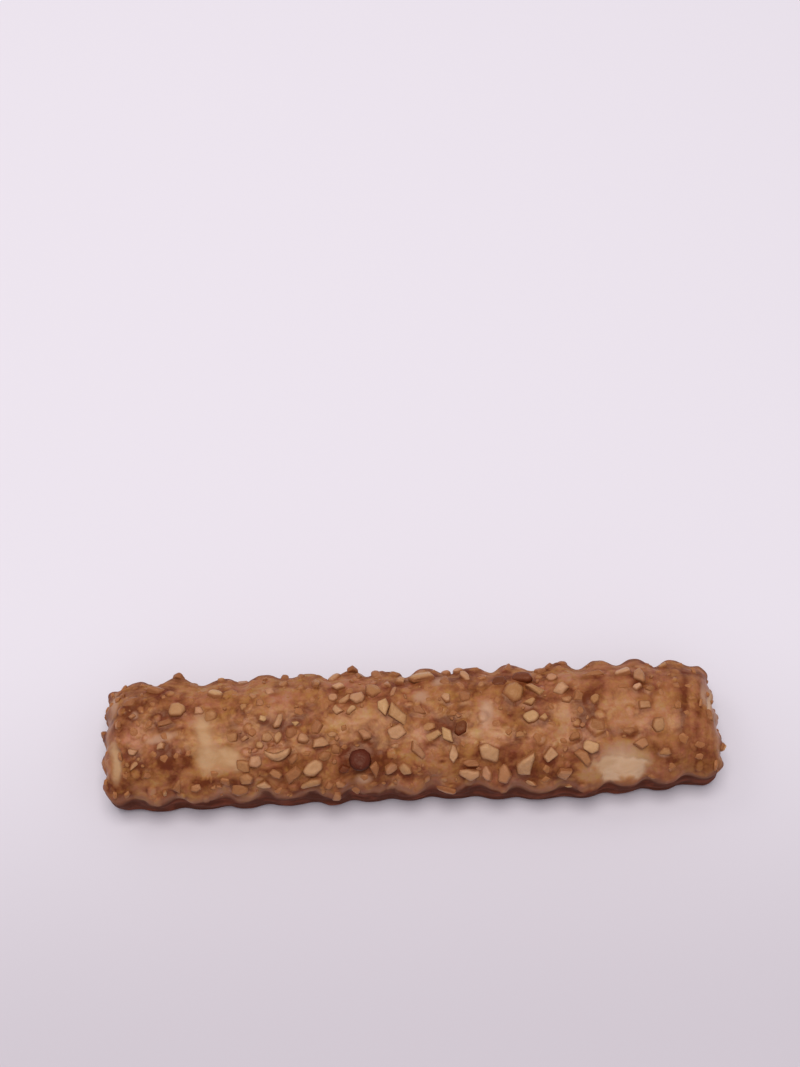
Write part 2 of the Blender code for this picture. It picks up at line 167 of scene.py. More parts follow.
# Grid of the crust
ROWS = 470
COLUMNS_ABOVE = 112
COLUMNS_WALL = 28
COLUMNS_UNDER = 22
CORNER_WEIGHT = 1.5
CORNER_SHRINKS = (0.6, 0.99)
CORNER_DEPTH = 1.01  # in lip heights below the lip
FINE = 3000

# Frame of a point: steps of station and turn, where the blunt ends begin, and how far towards them the
# line runs that normals point away from
STATION_STEP = 0.002
END_STEP = 0.016
TURN_STEP = 0.02
NEAR_END = 0.925
MIDDLE_REACH = 0.9

# The eye that the stick is seen from: its place, how steeply it looks down, how far it is turned from
# +Y towards +X, and the distance at which a length looks as long as it is
EYE = (-0.00809, -0.10564, 0.35947)
EYE_PITCH = math.radians(66.0)
EYE_YAW = math.radians(2.7)
EYE_FOCUS = 0.3571
MIDDLE_RIGHT = 0.00306  # how far the stick's middle is to the right in that view
LIP_BELOW = 0.05863  # how far below the view's middle the front lip shows
LIP_TILT = 0.0505  # how much the lip climbs to the right there, per length
ALONG_SCALE = 1.015  # lengths along it are laid out a little long
SIGHT = Vector(EYE).normalized()
LOOK_ROUNDS = 4
LAST_STATION = 0.999
CHIP_RISE = 0.0008  # height of a chip's face over the crust
LISTED_GROWTH = 1.13  # the glaze hides the rim of a scrap, so it is made larger than it looks
KEPT_SHARE = 0.35  # share of the scattered scraps kept on the seen face, beside the listed ones

# Large peanut scraps, as that eye sees them: millimetres along from the middle and up from the
# front lip, length, width, turn in degrees, and kind: b bright, c bright and bent, p pale, t tan,
# g glazed over, r ruddy, d dark and round. Beside these, v is covered by the glaze and m is a crumb
SHOWN_CHIPS = (
    (-58.0, 26.3, 3.6, 3.0, 35, "t"), (-53.5, 21.5, 3.6, 3.2, 5, "p"), (-36.2, 8.5, 3.0, 2.7, 20, "b"),
    (-38.3, 4.4, 3.2, 2.5, 15, "t"), (-34.2, 2.9, 3.4, 2.0, -25, "b"), (-21.3, 26.0, 2.5, 1.8, 80, "t"),
    (-15.9, 25.0, 2.8, 2.2, -35, "b"), (-8.0, 23.6, 3.7, 3.4, 85, "t"), (-11.9, 22.0, 3.4, 2.5, 10, "b"),
    (-16.4, 19.4, 2.5, 1.4, -40, "b"), (-13.4, 19.3, 2.6, 1.2, 40, "b"), (-5.9, 19.5, 3.7, 2.5, 90, "b"),
    (-2.6, 17.6, 5.6, 2.4, -42, "p"), (-30.3, 17.6, 3.6, 1.4, 65, "b"), (-21.4, 16.0, 3.4, 2.7, 80, "g"),
    (-24.6, 13.4, 2.7, 2.2, -10, "p"), (-20.5, 12.0, 3.8, 2.0, -10, "p"), (-10.6, 13.6, 3.4, 2.0, -40, "p"),
    (-3.0, 13.7, 3.6, 3.0, 20, "b"), (-30.8, 10.2, 5.8, 1.6, 5, "c"), (-22.7, 6.2, 4.5, 3.2, 35, "b"),
    (-27.5, 4.8, 4.1, 2.8, 45, "g"), (-31.4, 5.2, 2.5, 1.8, -35, "t"), (-23.8, 2.6, 6.0, 1.8, 22, "p"),
    (-4.9, 5.2, 3.2, 2.2, 30, "p"), (-11.9, 7.8, 4.5, 4.7, 10, "d"), (1.3, 9.1, 4.6, 2.1, -58, "p"),
    (3.1, 26.2, 5.4, 3.4, 20, "b"), (24.3, 21.6, 4.6, 4.4, 30, "t"),
    (29.2, 22.0, 4.5, 2.5, -10, "p"), (27.8, 19.2, 3.2, 1.8, 10, "p"), (35.0, 21.7, 3.4, 2.5, 30, "b"),
    (27.9, 15.8, 3.4, 2.7, 10, "b"), (8.5, 12.6, 4.0, 2.2, 100, "b"), (11.7, 14.0, 3.6, 2.6, 65, "r"),
    (9.5, 8.0, 4.0, 1.9, 85, "b"), (18.0, 7.8, 5.3, 3.3, -25, "b"), (13.0, 3.2, 4.5, 2.7, -15, "b"),
    (21.1, 2.8, 4.2, 2.8, 85, "t"), (26.4, 5.0, 5.8, 3.3, 80, "b"), (32.0, 6.6, 3.5, 2.8, 60, "b"),
    (35.0, 1.8, 3.4, 3.3, 5, "p"), (49.5, 25.0, 3.8, 2.7, 5, "b"), (53.5, 24.0, 4.1, 2.5, 105, "p"),
    (57.1, 12.4, 3.4, 2.7, 90, "p"), (41.4, 8.0, 3.6, 2.5, -25, "b"), (39.5, 5.6, 4.0, 2.0, -45, "t"),
    (26.2, 24.8, 4.6, 2.7, 0, "r"), (52.9, 8.3, 3.4, 2.2, 5, "t"),
)
# Smaller ones, laid out in the same way
SMALL_CHIPS = (
    (-48.4, 21.0, 2.1, 1.9, 0, "p"), (-45.8, 19.6, 2.7, 2.5, 0, "t"), (-56.3, 18.6, 3.4, 1.6, 20, "g"),
    (-67.2, 18.6, 2.3, 1.4, 90, "p"), (-42.8, 27.9, 1.8, 1.6, 0, "p"), (-37.9, 28.3, 3.2, 2.0, 30, "p"),
    (-35.8, 23.7, 1.9, 1.7, 0, "t"), (-38.2, 21.3, 1.9, 1.9, 0, "t"), (-41.2, 14.4, 2.5, 2.3, 0, "t"),
    (-38.2, 14.0, 1.8, 1.3, 0, "p"), (-34.9, 12.3, 1.8, 1.6, 0, "p"), (-38.9, 7.5, 3.0, 2.7, 0, "t"),
    (-49.9, 2.9, 2.3, 1.8, 0, "t"), (-57.2, 1.9, 1.8, 0.9, 80, "p"), (-64.0, 9.0, 2.7, 1.0, 35, "p"),
    (-63.8, 20.5, 1.8, 1.4, 0, "t"), (-61.0, 6.3, 2.0, 1.4, 0, "g"), (-31.8, 24.6, 2.3, 2.0, 0, "p"),
    (-28.8, 26.3, 2.3, 1.8, 0, "t"), (-4.7, 25.1, 3.0, 1.4, 105, "p"), (-3.6, 23.3, 3.2, 1.1, 70, "p"),
    (-14.8, 22.0, 3.2, 1.4, 30, "p"), (-17.4, 22.5, 2.3, 2.0, 0, "p"), (2.2, 18.5, 3.2, 1.8, -10, "g"),
    (-34.2, 22.2, 2.0, 1.6, 0, "t"), (-33.8, 18.3, 1.8, 1.4, 0, "b"), (-26.4, 17.0, 1.8, 1.1, 0, "b"),
    (-27.3, 14.8, 2.7, 2.7, 0, "g"), (-30.5, 13.9, 3.0, 1.8, 70, "p"), (-33.0, 14.0, 2.5, 2.2, 0, "p"),
    (-18.0, 13.9, 2.2, 1.3, 0, "p"), (-17.5, 10.4, 2.5, 2.0, -45, "g"), (-20.1, 8.8, 2.7, 2.2, 0, "g"),
    (-27.2, 8.6, 2.7, 1.8, 40, "g"), (-15.6, 5.7, 2.5, 2.0, 0, "r"), (-3.7, 10.5, 1.8, 1.1, 0, "p"),
    (15.4, 27.3, 2.8, 1.6, 0, "g"), (16.8, 23.8, 1.8, 1.6, 0, "t"), (12.9, 21.3, 2.9, 2.6, 0, "g"),
    (21.0, 24.4, 3.2, 2.5, 0, "r"), (36.3, 19.4, 2.5, 1.6, 0, "t"), (39.0, 20.0, 2.3, 2.5, 0, "g"),
    (30.7, 15.6, 2.0, 2.0, 0, "p"), (4.3, 14.6, 2.7, 2.0, 0, "t"), (5.1, 12.5, 4.0, 2.0, 15, "p"),
    (25.2, 11.8, 2.0, 1.3, 0, "t"), (13.6, 5.5, 4.0, 1.8, -15, "g"), (7.5, 0.9, 4.6, 1.9, 14, "p"),
    (35.8, 0.4, 1.8, 1.0, 0, "b"), (27.2, 0.0, 2.7, 1.1, 0, "p"), (42.7, 25.0, 4.5, 1.4, 0, "g"),
    (55.4, 21.0, 1.8, 1.6, 0, "g"), (42.7, 19.1, 2.7, 2.0, 80, "t"), (54.2, 17.2, 2.7, 2.0, 0, "p"),
    (43.0, 12.9, 3.6, 3.2, 0, "g"), (50.3, 11.3, 2.7, 1.8, 0, "g"), (58.4, 5.8, 2.7, 1.6, 0, "t"),
)

# Scattered scraps, the largest first
SCATTERED_CHIPS = 95
SCATTERED_KINDS = "bptggg"
CHIP_SEED = 58
LARGEST_CHIP = 0.0041
CHIP_SHRINK = 0.9945
CHIP_WIDTH = (0.55, 0.95)
CHIP_THICKNESS = (0.00125, 0.0019)
THICKENING = 0.12  # per length
CHIP_OUT = (0.42, 0.62)
CHIP_TILT = 0.36
CHIP_SPACING = 0.43
CHIP_TRIES = 400
LOWEST_CHIP = 0.0085
TOP_FACING = 0.55  # least share of the normal that points up, or at the eye, on the stick's top
END_FACING = 0.7
SIDE_SHARE = 0.4
FOOT_SHARE = 0.12
SMOOTH_END_SHARE = 0.22
LEFT_END_TO = -0.045
LEFT_END_SHARE = 0.6
SMALLEST_SHRINK = 0.15
# No scattered scrap lies there: metres along and seen height, half length and half height
BARE_PATCHES = (
    (-0.0470, 0.0150, 0.0030, 0.0055),
    (-0.0442, 0.0096, 0.0052, 0.0034),
    (0.0484, 0.0030, 0.0068, 0.0036),
)

# Smaller listed scraps, covered ones and crumbs; thicknesses without a unit count in widths or lengths
SMALL_THICKNESS = 0.0014
SMALL_THICKNESS_SHARE = 0.75
SMALL_OUT = 0.5
SMALL_CLEARANCE = 0.5
COVERED_SCRAPS = 105
COVERED_LENGTH = (0.0016, 0.003)
COVERED_WIDTH = (0.6, 0.95)
COVERED_THICKNESS = 0.0009
COVERED_OUT = (0.3, 0.5)
COVERED_SPACING = 0.48
COVERED_EXTRA = 0.15  # likelier than a scattered chip, as a share
COVERED_MARGIN = 150  # rows
CRUMB_SEED = 77
CRUMB_SHAPE_SEED = 131
CRUMB_ROWS = 900
CRUMB_LENGTH = (0.0006, 0.0015)
CRUMB_WIDTH = (0.6, 0.9)
CRUMB_THICKNESS = 0.6
CRUMB_OUT = 0.55
CRUMB_SPACING = 0.42
CRUMB_EXTRA = 0.1
CRUMB_MARGIN = 30

# Outline of a scrap, and its body, whose half length, width and height count as 1
SCRAP_SEED = 100
CORNER_COUNTS = (4, 4, 5, 5, 5, 6, 6, 6, 7, 7)
SMOOTH_CORNERS = 10
BOX_POWER = 2.6
CORNER_TURN = 0.3
CORNER_REACH = (-0.12, 0.08)
ROUND_UNEVENNESS = 0.35
FOOT_SIZE = 0.92
BELLY_HEIGHT = (-0.2, 0.35)
TOP_SIZE = (0.55, 0.86)
TOP_HEIGHT = 0.82
TOP_LEAN = 0.3
CROWN_SHIFT = 0.25
ROUND_RINGS = ((0.87, 0.45), (0.55, 0.86))  # size and height of the round scrap's rings
MERGE_ANGLE = 0.14
ROUNDING_LIMIT = 1.5  # edges are rounded in widths, or in this many thicknesses where that is less
FLAT_FACE = 0.035  # faces larger than this share of length times width stay flat, as cut ones
SLIM = 1.5  # scraps this much longer than wide are bent
SLIM_BEND = (0.05, 0.35)  # in widths, as the next one
CRESCENT_BEND = 0.95
CLEAN_RISE = 0.45  # thicknesses over its middle at which a scrap is as clean as it gets

# Kinds of scrap: the piece that it is part of, how high the glaze climbs round it in millimetres, the
# strength of the shade painted round it and its share in the painted shade where scraps crowd, the share
# of it that glaze covers, how far it is raised in thicknesses, the rounding of its edges and the height
# of its crown
Kind = namedtuple("Kind", "piece climb shade crowding cover rise rounding crown")
KINDS = {
    "b": Kind("peanut_bright", 0.12, 1.0, 1.0, 0.0, 0.12, 0.17, 0.35),
    "c": Kind("peanut_bright", 0.12, 1.0, 1.0, 0.0, 0.12, 0.17, 0.35),
    "p": Kind("peanut_pale", 0.12, 1.0, 1.0, 0.12, 0.08, 0.19, 0.35),
    "t": Kind("peanut_tan", 0.12, 1.0, 1.0, 0.15, 0.05, 0.19, 0.35),
    "g": Kind("peanut_glazed", 0.2, 0.75, 1.0, 0.6, 0.0, 0.22, 0.35),
    "r": Kind("peanut_ruddy", 0.12, 1.0, 1.0, 0.3, 0.05, 0.19, 0.35),
    "v": Kind("peanut_covered", 0.12, 0.45, 0.4, 0.6, 0.0, 0.19, 0.35),
    "d": Kind("peanut_dark", 0.1, 0.6, 1.0, 0.1, 0.1, 0.12, 0.3),
    "m": Kind("peanut_crumbs", 0.0, 0.0, 0.0, 0.5, 0.0, 0.14, 0.05),
}

# Share of the way from light to deep glaze at a scrap's foot and on crumbs, from peanut to toasted, from
# toasted to glaze and from toasted to deep glaze
FOOT_GLAZE = 0.32
CRUMB_GLAZE = 0.4
PALE_TOAST = 0.5
GLAZED_BROWN = 0.3
RUDDY_BROWN = 0.85

# Roughness where nothing changes it
GLAZE_ROUGHNESS = 0.34
FLESH_ROUGHNESS = 0.4
FLOOR_ROUGHNESS = 0.85

# Places of the colours in the ramps: glaze from thin to thick, wall from dark to crumb
GLAZE_STOPS = (0.06, 0.34, 0.64, 0.95)
WALL_STOPS = (0.25, 0.75, 1.0)

# Colours that aren't settings, and tints, which are shares of a colour's red, green and blue
WHITE = (1.0, 1.0, 1.0)
MIDDLE_TINT = (1.0, 0.96, 0.92)
GOLD_TINT = (1.08, 1.34, 1.7)
REDDENED = (0.42, 0.13, 0.045)
GRAIN_TINTS = ((0.96, 0.955, 0.95), (1.03, 1.03, 1.03))
HUE_TINTS = ((1.0, 0.95, 1.09), (0.99, 1.04, 0.87))
HUE_NOISES = ((0.009, 0.2), (0.0026, 0.4), (0.0011, 0.6))  # size and seed
RIGHT_DOUGH_TINT = (1.2, 1.33, 1.6)
DOUGH_MOTTLE = (0.8, 0.7, 0.56)
WARM_TINT = (2.0, 2.1, 2.15)
WALL_CRUMB = (0.175, 0.06, 0.03)
RIM = (0.235, 0.097, 0.06)
RIGHT_RIM = (0.185, 0.07, 0.044)
DARK_FLESH = (0.76, 0.7, 0.6)
FLESH_TINTS = ((1.0, 0.94, 1.02), (1.0, 1.035, 0.92))
BRIGHT_FLESH = (1.03, 1.03, 1.03)
BURNT = (0.5, 0.5, 0.5)
GLAZE_SHEEN = (1.0, 0.72, 0.5)
GLAZE_GLOW = (1.0, 0.45, 0.2)
FLESH_SHEEN = (1.0, 0.78, 0.58)
FLESH_GLOW = (1.0, 0.6, 0.35)
LAMP_COLOR = (1.0, 0.97, 0.96)
AIR_COLOR = (0.93, 0.9, 0.97)

# From where to where, along or across the stick, one finish turns into another
CALM_END = (0.036, 0.05)
BRUSHED_END = (0.048, 0.062)
DOUGH_TURN = (0.0, 0.03)
RIM_TURN = (0.03, 0.05)
DULL_BACK = (0.0075, 0.012)
# FLOOR_TURN: where the floor's painted light grows towards the back
FLOOR_TURN = (-0.075, 0.035)

# Floor and lamps
FLOOR_REACH = 3.0
OVERHEAD_SIZE = (0.65, 0.5)
OVERHEAD_PLACE = (-0.02, 0.1, 1.17)
WINDOW_SIZE = (0.2, 0.2)
WINDOW_PLACE = (-0.32, 0.28, 0.5)

# Dough without glaze: millimetres along and seen height, half length, half height, turn in degrees, edge
# width and boxiness
DOUGH_PATCHES = (
    (-47.4, 15.2, 2.2, 4.4, 5, 0.9, 2.2),
    (-47.1, 10.2, 3.4, 3.4, 0, 0.8, 2.4),
    (-42.6, 9.5, 4.4, 2.9, -16, 0.9, 2.0),
    (47.7, 2.9, 6.4, 2.8, -2, 0.32, 3.4),
    (48.0, 5.3, 4.8, 2.0, 2, 2.6, 2.0),
    (-68.0, 9.8, 1.3, 4.8, 0, 0.9, 2.2),
    (69.2, 17.0, 0.7, 3.4, -8, 0.9, 2.2),
)

# Browner (+) and lighter (-) places of the glaze, and at -15.4, 5.6 the painted shade under the dark
# nut: millimetres along and seen height, half length, half height, turn in degrees, strength
TONES = (
    (-54.2, 9.6, 2.6, 4.6, 5, 1.35), (-58.0, 9.5, 4.5, 3.0, 0, 0.35), (-63.0, 22.0, 6.0, 4.0, 0, 0.2),
    (-58.5, 24.0, 2.5, 1.6, 0, 0.35), (-67.5, 4.0, 3.0, 2.6, 0, 0.4), (-60.0, 13.0, 5.0, 2.0, 0, -0.1),
    (-50.0, 21.0, 4.0, 1.6, 0, 0.1), (-41.0, 17.5, 3.0, 3.0, 20, 0.15), (-36.0, 24.0, 5.0, 3.0, 0, -0.35),
    (-29.0, 17.5, 4.5, 2.0, 0, 0.15), (-26.0, 10.0, 8.0, 2.2, 10, 0.05), (-44.0, 24.5, 6.0, 2.6, 0, -0.15),
    # -15.4, 5.6: painted shade under the dark nut
    (-12.0, 8.0, 3.9, 3.9, 0, 1.2), (-15.4, 5.6, 1.9, 2.4, 20, 0.7), (-5.5, 6.0, 3.0, 3.0, 0, 0.25),
    (-15.0, 15.0, 5.0, 2.6, 0, -0.4), (0.0, 9.0, 4.0, 3.5, 0, -0.3), (-9.0, 26.0, 6.0, 1.6, 0, 0.15),
    (9.5, 14.5, 3.0, 3.5, 0, 0.45), (13.5, 25.5, 4.0, 2.6, 0, 0.6), (17.5, 16.5, 3.0, 4.6, 0, -0.35),
    (22.5, 16.0, 2.2, 4.5, 0, 0.45), (13.5, 8.0, 3.5, 3.0, 0, 0.25), (23.0, 7.0, 2.5, 4.0, 0, 0.4),
    (35.4, 12.9, 3.6, 5.5, 0, -0.5), (41.0, 16.5, 2.0, 5.0, -25, 1.1), (47.5, 17.5, 5.0, 4.6, 0, -0.3),
    (50.3, 10.7, 3.8, 1.2, -5, 0.7), (63.0, 16.5, 1.0, 8.0, -6, 0.8), (59.3, 17.0, 1.8, 7.0, -6, -0.3),
    (66.3, 14.5, 0.9, 7.0, -8, 0.55), (66.5, 5.0, 2.6, 4.0, 15, 0.3), (56.0, 7.5, 2.4, 1.2, 0, 0.5),
    (59.7, 3.9, 1.4, 0.9, 0, 0.6), (54.0, 14.0, 3.0, 2.0, 0, -0.15),
    (-45.0, 3.5, 8.0, 2.0, 0, 0.1), (-45.5, 6.3, 3.6, 0.8, 0, -0.6), (-25.0, 1.0, 9.0, 1.3, 0, 0.2),
    (28.0, 2.0, 9.0, 1.6, 0, 0.3),
    (3.0, 4.0, 5.0, 2.0, 0, -0.1), (36.5, 8.0, 2.0, 4.5, 0, 0.3), (57.0, 27.0, 7.0, 1.6, 0, 0.2),
    (-52.0, 12.5, 1.2, 4.5, 0, 0.35), (-47.0, 4.4, 4.5, 1.1, 0, 0.35), (52.5, 21.4, 1.6, 1.8, 0, 0.5),
    (63.5, 23.5, 3.5, 2.0, 0, 0.35),
    (23.5, 7.1, 0.5, 0.5, 0, 1.6), (7.1, 6.5, 0.7, 0.35, 0, 1.3), (41.2, 2.6, 2.4, 2.8, 0, -1.2),
    (48.8, 6.8, 4.6, 1.6, 0, -0.9), (-30.0, 20.5, 3.0, 1.5, 0, -0.3), (-4.5, 12.5, 2.6, 1.8, 20, -0.3),
    (-1.3, 4.0, 2.6, 1.8, 0, 0.7), (12.3, 20.0, 1.8, 1.4, 0, 0.4), (-2.8, 15.7, 1.6, 0.9, -35, 0.7),
)

# Lighter smears on the glaze, the large one first, partly paler glaze and partly painted highlights of
# its sheen: millimetres along and seen height, half length, half height, turn in degrees
PALE_MARKS = (
    # The smears at 7.1, 24.4, at 57.8, 5.6 and at 2.9, 21.1 are painted highlights, and the large one is
    # partly one
    (17.6, 16.9, 1.9, 3.4, 0), (-57.0, 15.0, 3.9, 1.1, 11), (7.1, 24.4, 1.9, 1.0, 0),
    (-11.3, 3.4, 2.2, 1.2, 0), (-67.6, 23.5, 0.9, 3.4, -12), (67.6, 18.5, 0.8, 3.0, 0),
    (57.8, 5.6, 1.5, 0.8, -15), (-63.2, 20.4, 0.9, 1.1, 0), (2.9, 21.1, 1.9, 1.6, 0),
)


def smooth_step(value):
    """Three value squared minus two value cubed, held between 0 and 1."""
    share = np.clip(value, 0.0, 1.0)
    return share * share * (3.0 - 2.0 * share)


def signed_power(value, exponent):
    """The value's size to that power, with the value's sign."""
    return np.sign(value) * np.abs(value) ** exponent


def lattice_noise(points, size, seed):
    """Random numbers on a cubic lattice of that size, blended smoothly between its corners, -1 to 1."""
    scaled = points / size + seed * 7.31
    base = np.floor(scaled).astype(np.int64)
    share = smooth_step(scaled - base)
    total = np.zeros(points.shape[:-1])
    for corner in np.ndindex(2, 2, 2):
        cell = base + corner
        mixed = (cell[..., 0] * 73856093) ^ (cell[..., 1] * 19349663) ^ (cell[..., 2] * 83492791)
        mixed = (mixed ^ (mixed >> 13)) * (1274126177 + 2 * seed) & 0xFFFFFFFF
        value = ((mixed >> 8) & 0xFFFF) / 32767.5 - 1.0
        weight = np.prod(np.where(corner, share, 1.0 - share), axis=-1)
        total += weight * value
    return total


def layered(points, layers):
    """Sum of lattice noises, each with its strength, size, seed and stretch."""
    return sum(
        strength * lattice_noise(points * np.array(stretch), size, seed)
        for strength, size, seed, stretch in layers
    )


class Form:
    """The crust's surface, from the sizes in the panel."""

    def __init__(self, sizes):
        self.half_length = sizes.length / 2.0
        self.half_width = sizes.width / 2.0
        self.lip = sizes.lip_height
        self.rise = sizes.top_rise
        self.pitch = sizes.wave_pitch
        self.depth = sizes.wave_depth
        self.undercut = sizes.undercut
        rng = np.random.default_rng(SWELL_SEED)
        lengths = rng.uniform(*SWELL_LENGTHS, SWELL_WAVES)
        headings = rng.uniform(0.0, math.pi, SWELL_WAVES)
        phases = rng.uniform(0.0, 2.0 * math.pi, SWELL_WAVES)
        self.swells = list(zip(2.0 * math.pi / lengths, headings, phases))

    def section(self, turn):
        """Across is minus the half width times cos(turn). Above the lip the height is the rise times
        one minus |cos(turn)| to the power TOP_FULLNESS, below it the section is a superellipse."""
        upper = np.sin(turn) >= 0.0
        box_across = signed_power(np.cos(turn), 2.0 / FOOT_SQUARENESS)
        box_up = FOOT_DEPTH * signed_power(np.sin(turn), 2.0 / FOOT_SQUARENESS)
        dome = self.rise * (1.0 - np.abs(np.cos(turn)) ** TOP_FULLNESS)
        across = -self.half_width * np.where(upper, np.cos(turn), box_across)
        return across, np.where(upper, dome, box_up)

    def swell(self, x, y, z):
        """Sum of sine waves of several lengths and headings, over the square root of twice their
        number."""
        total = 0.0
        for rate, heading, phase in self.swells:
            total = total + np.sin(rate * (x * math.cos(heading) + (y + z) * math.sin(heading)) + phase)
        return total / math.sqrt(2.0 * SWELL_WAVES)

    def flute(self, x, y):
        """How far the side stands out, -1 to 1: a cosine of x over the pitch, with a slow drift in its
        phase and its strength. Crests are broad and hollows narrow, and the two sides run in step."""
        drift = sum(size * np.sin(x * rate + start) for rate, start, size in DRIFT_WAVES)
        rate, start, size = STRENGTH_WAVE
        strength = 1.0 + size * np.sin(x * rate + start)
        phase = 2.0 * math.pi * (x - FLUTE_CREST) / self.pitch + FLUTE_DRIFT * drift
        hollow = (0.5 + 0.5 * np.sign(y) * np.cos(phase)) ** FLUTE_NARROWING
        return strength * (1.0 - 2.0 * hollow)

    def crust(self, station, shrink, turn):
        """Point of the smooth crust: the section at a share of its size, set at station times the half
        length, then moved sideways by the wave, the belly and the undercut, and outwards at the ends."""
        across, up = self.section(turn)
        fall = 1.0 - LIP_FALL * np.abs(station) ** LIP_FALL_POWER
        x = station * self.half_length
        y = shrink * across
        z = self.lip + shrink * up * np.where(up > 0.0, fall, 1.0)
        side = np.abs(y) / self.half_width
        above = np.clip((z - self.lip) / self.rise, 0.0, 1.0)
        below = np.clip((self.lip - z) / self.lip, 0.0, 1.0)
        level = 1.0 - (1.0 - FOOT_FLUTE) * smooth_step(below * FLUTE_FADE)
        end = np.abs(station) ** END_POWER
        outward = np.sign(station)
        under = smooth_step(-z / UNDERSIDE_BLEND)

        undercut = self.undercut * smooth_step((self.lip - z) / UNDERCUT_FROM)
        belly = FRONT_BELLY * np.exp(-(((x - BELLY_AT) / BELLY_LENGTH) ** 2)) * np.where(y < 0.0, 1.0, 0.0)
        bumpy = SWELL_HEIGHT * self.swell(x, y, z) * (1.0 - below)
        waved = self.depth * side**4 * level * (1.0 - end) * self.flute(x, y)
        aside = np.sign(y) * (waved + side**2 * (belly + bumpy - undercut))
        y_new = y + aside * (1.0 - under)
        lift = END_LIFT * np.clip((np.abs(station) - FLAT_TO) / (1.0 - FLAT_TO), 0.0, 1.0)
        z_new = np.maximum(z + above**0.5 * bumpy, lift)
        wave = END_DEPTH * level * np.cos(2.0 * math.pi * y / END_PITCH + END_PHASE * outward)
        x_new = x + outward * end * (wave - undercut)
        back_share = 0.5 + y / (2.0 * self.half_width)
        leaning = smooth_step((np.abs(station) - SLANT_FROM) / (1.0 - SLANT_FROM))
        slant = np.where(station > 0.0, RIGHT_SLANT, LEFT_SLANT)
        reach = np.where(station > 0.0, RIGHT_REACH, LEFT_REACH)
        x_new = x_new + outward * (reach - slant * back_share) * leaning
        return np.stack([x_new - SET_LEFT, y_new, z_new], axis=-1)

    def end_profile(self):
        """Station and shrink from pole to pole, on a superellipse: raised to END_SQUARENESS, their sizes
        add up to one."""
        corner = 0.5 ** (1.0 / END_SQUARENESS)
        along = np.linspace(0.0, corner, FINE)
        narrowing = np.linspace(corner, 0.0, FINE)[1:]
        station = np.concatenate([along, (1.0 - narrowing**END_SQUARENESS) ** (1.0 / END_SQUARENESS)])
        shrink = np.concatenate([(1.0 - along**END_SQUARENESS) ** (1.0 / END_SQUARENESS), narrowing])
        station = np.concatenate([-station[::-1], station[1:]])
        return station, np.concatenate([shrink[::-1], shrink[1:]])

    def rows(self, count):
        """Stations and shrinks that divide the crust's length, ends included, into even steps."""
        station, shrink = self.end_profile()
        corner = (shrink[1:] > CORNER_SHRINKS[0]) & (shrink[1:] < CORNER_SHRINKS[1])
        weight = np.where(corner, CORNER_WEIGHT, 1.0)
        length = run_length(station * self.half_length, shrink * self.half_width, weight)
        wanted = np.linspace(0.0, length[-1], count)
        return np.interp(wanted, length, station), np.interp(wanted, length, shrink)

    def turns(self):
        """Turns of the columns: even steps over the dome, down the walls and across the underside."""
        turn = np.linspace(0.0, math.pi, FINE)
        length = run_length(*self.section(turn))
        above = np.interp(np.linspace(0.0, length[-1], COLUMNS_ABOVE + 1)[:-1], length, turn)
        turn = np.linspace(0.0, math.pi / 2.0, 4 * FINE)
        across, up = self.section(math.pi + turn)
        run = run_length(across, up)
        corner = np.interp(self.lip * CORNER_DEPTH, -up, run)
        wall = np.linspace(0.0, corner, COLUMNS_WALL + 1)[:-1]
        under = np.linspace(corner, run[-1], COLUMNS_UNDER // 2 + 1)
        back = np.interp(np.concatenate([wall, under]), run, turn)
        return np.concatenate([above, math.pi + back, 2.0 * math.pi - back[::-1][1:-1]])


def look(points):
    """Where the eye sees points: metres along the lip from the stick's middle, and up from the lip."""
    level = np.array([math.sin(EYE_YAW), math.cos(EYE_YAW), 0.0])
    right = np.array([math.cos(EYE_YAW), -math.sin(EYE_YAW), 0.0])
    plumb = np.array([0.0, 0.0, 1.0])
    upward = level * math.sin(EYE_PITCH) + plumb * math.cos(EYE_PITCH)
    ahead = level * math.cos(EYE_PITCH) - plumb * math.sin(EYE_PITCH)
    offset = points - np.array(EYE)
    depth = offset @ ahead
    along = EYE_FOCUS * (offset @ right) / depth
    up = EYE_FOCUS * (offset @ upward) / depth + LIP_BELOW - LIP_TILT * along
    return (along - MIDDLE_RIGHT + LIP_TILT * up) * ALONG_SCALE, up


def run_length(first, second, weight=1.0):
    """Length along a sampled plane curve, from its start to each sample."""
    steps = np.hypot(np.diff(first), np.diff(second)) * weight
    return np.concatenate([[0.0], np.cumsum(steps)])


def surface_frame(form, station, shrink, turn):
    """Point on the smooth crust with its outward normal and a tangent that runs along the stick. On the
    blunt ends the tangent runs to the middle of the end instead."""
    here = form.crust(station, shrink, turn)
    if abs(station) < NEAR_END:
        behind = form.crust(station - STATION_STEP, shrink, turn)
        along = form.crust(station + STATION_STEP, shrink, turn) - behind
    else:
        along = form.crust(station, shrink - END_STEP, turn) - here
    around = form.crust(station, shrink, turn + TURN_STEP) - form.crust(station, shrink, turn - TURN_STEP)
    normal = Vector(np.cross(along, around))
    middle = MIDDLE_REACH * form.half_length
    centre = Vector((np.clip(here[0], -middle, middle), 0.0, form.lip))
    if normal.dot(Vector(here) - centre) < 0.0:
        normal.negate()
    return Vector(here), normal.normalized(), Vector(along).normalized()


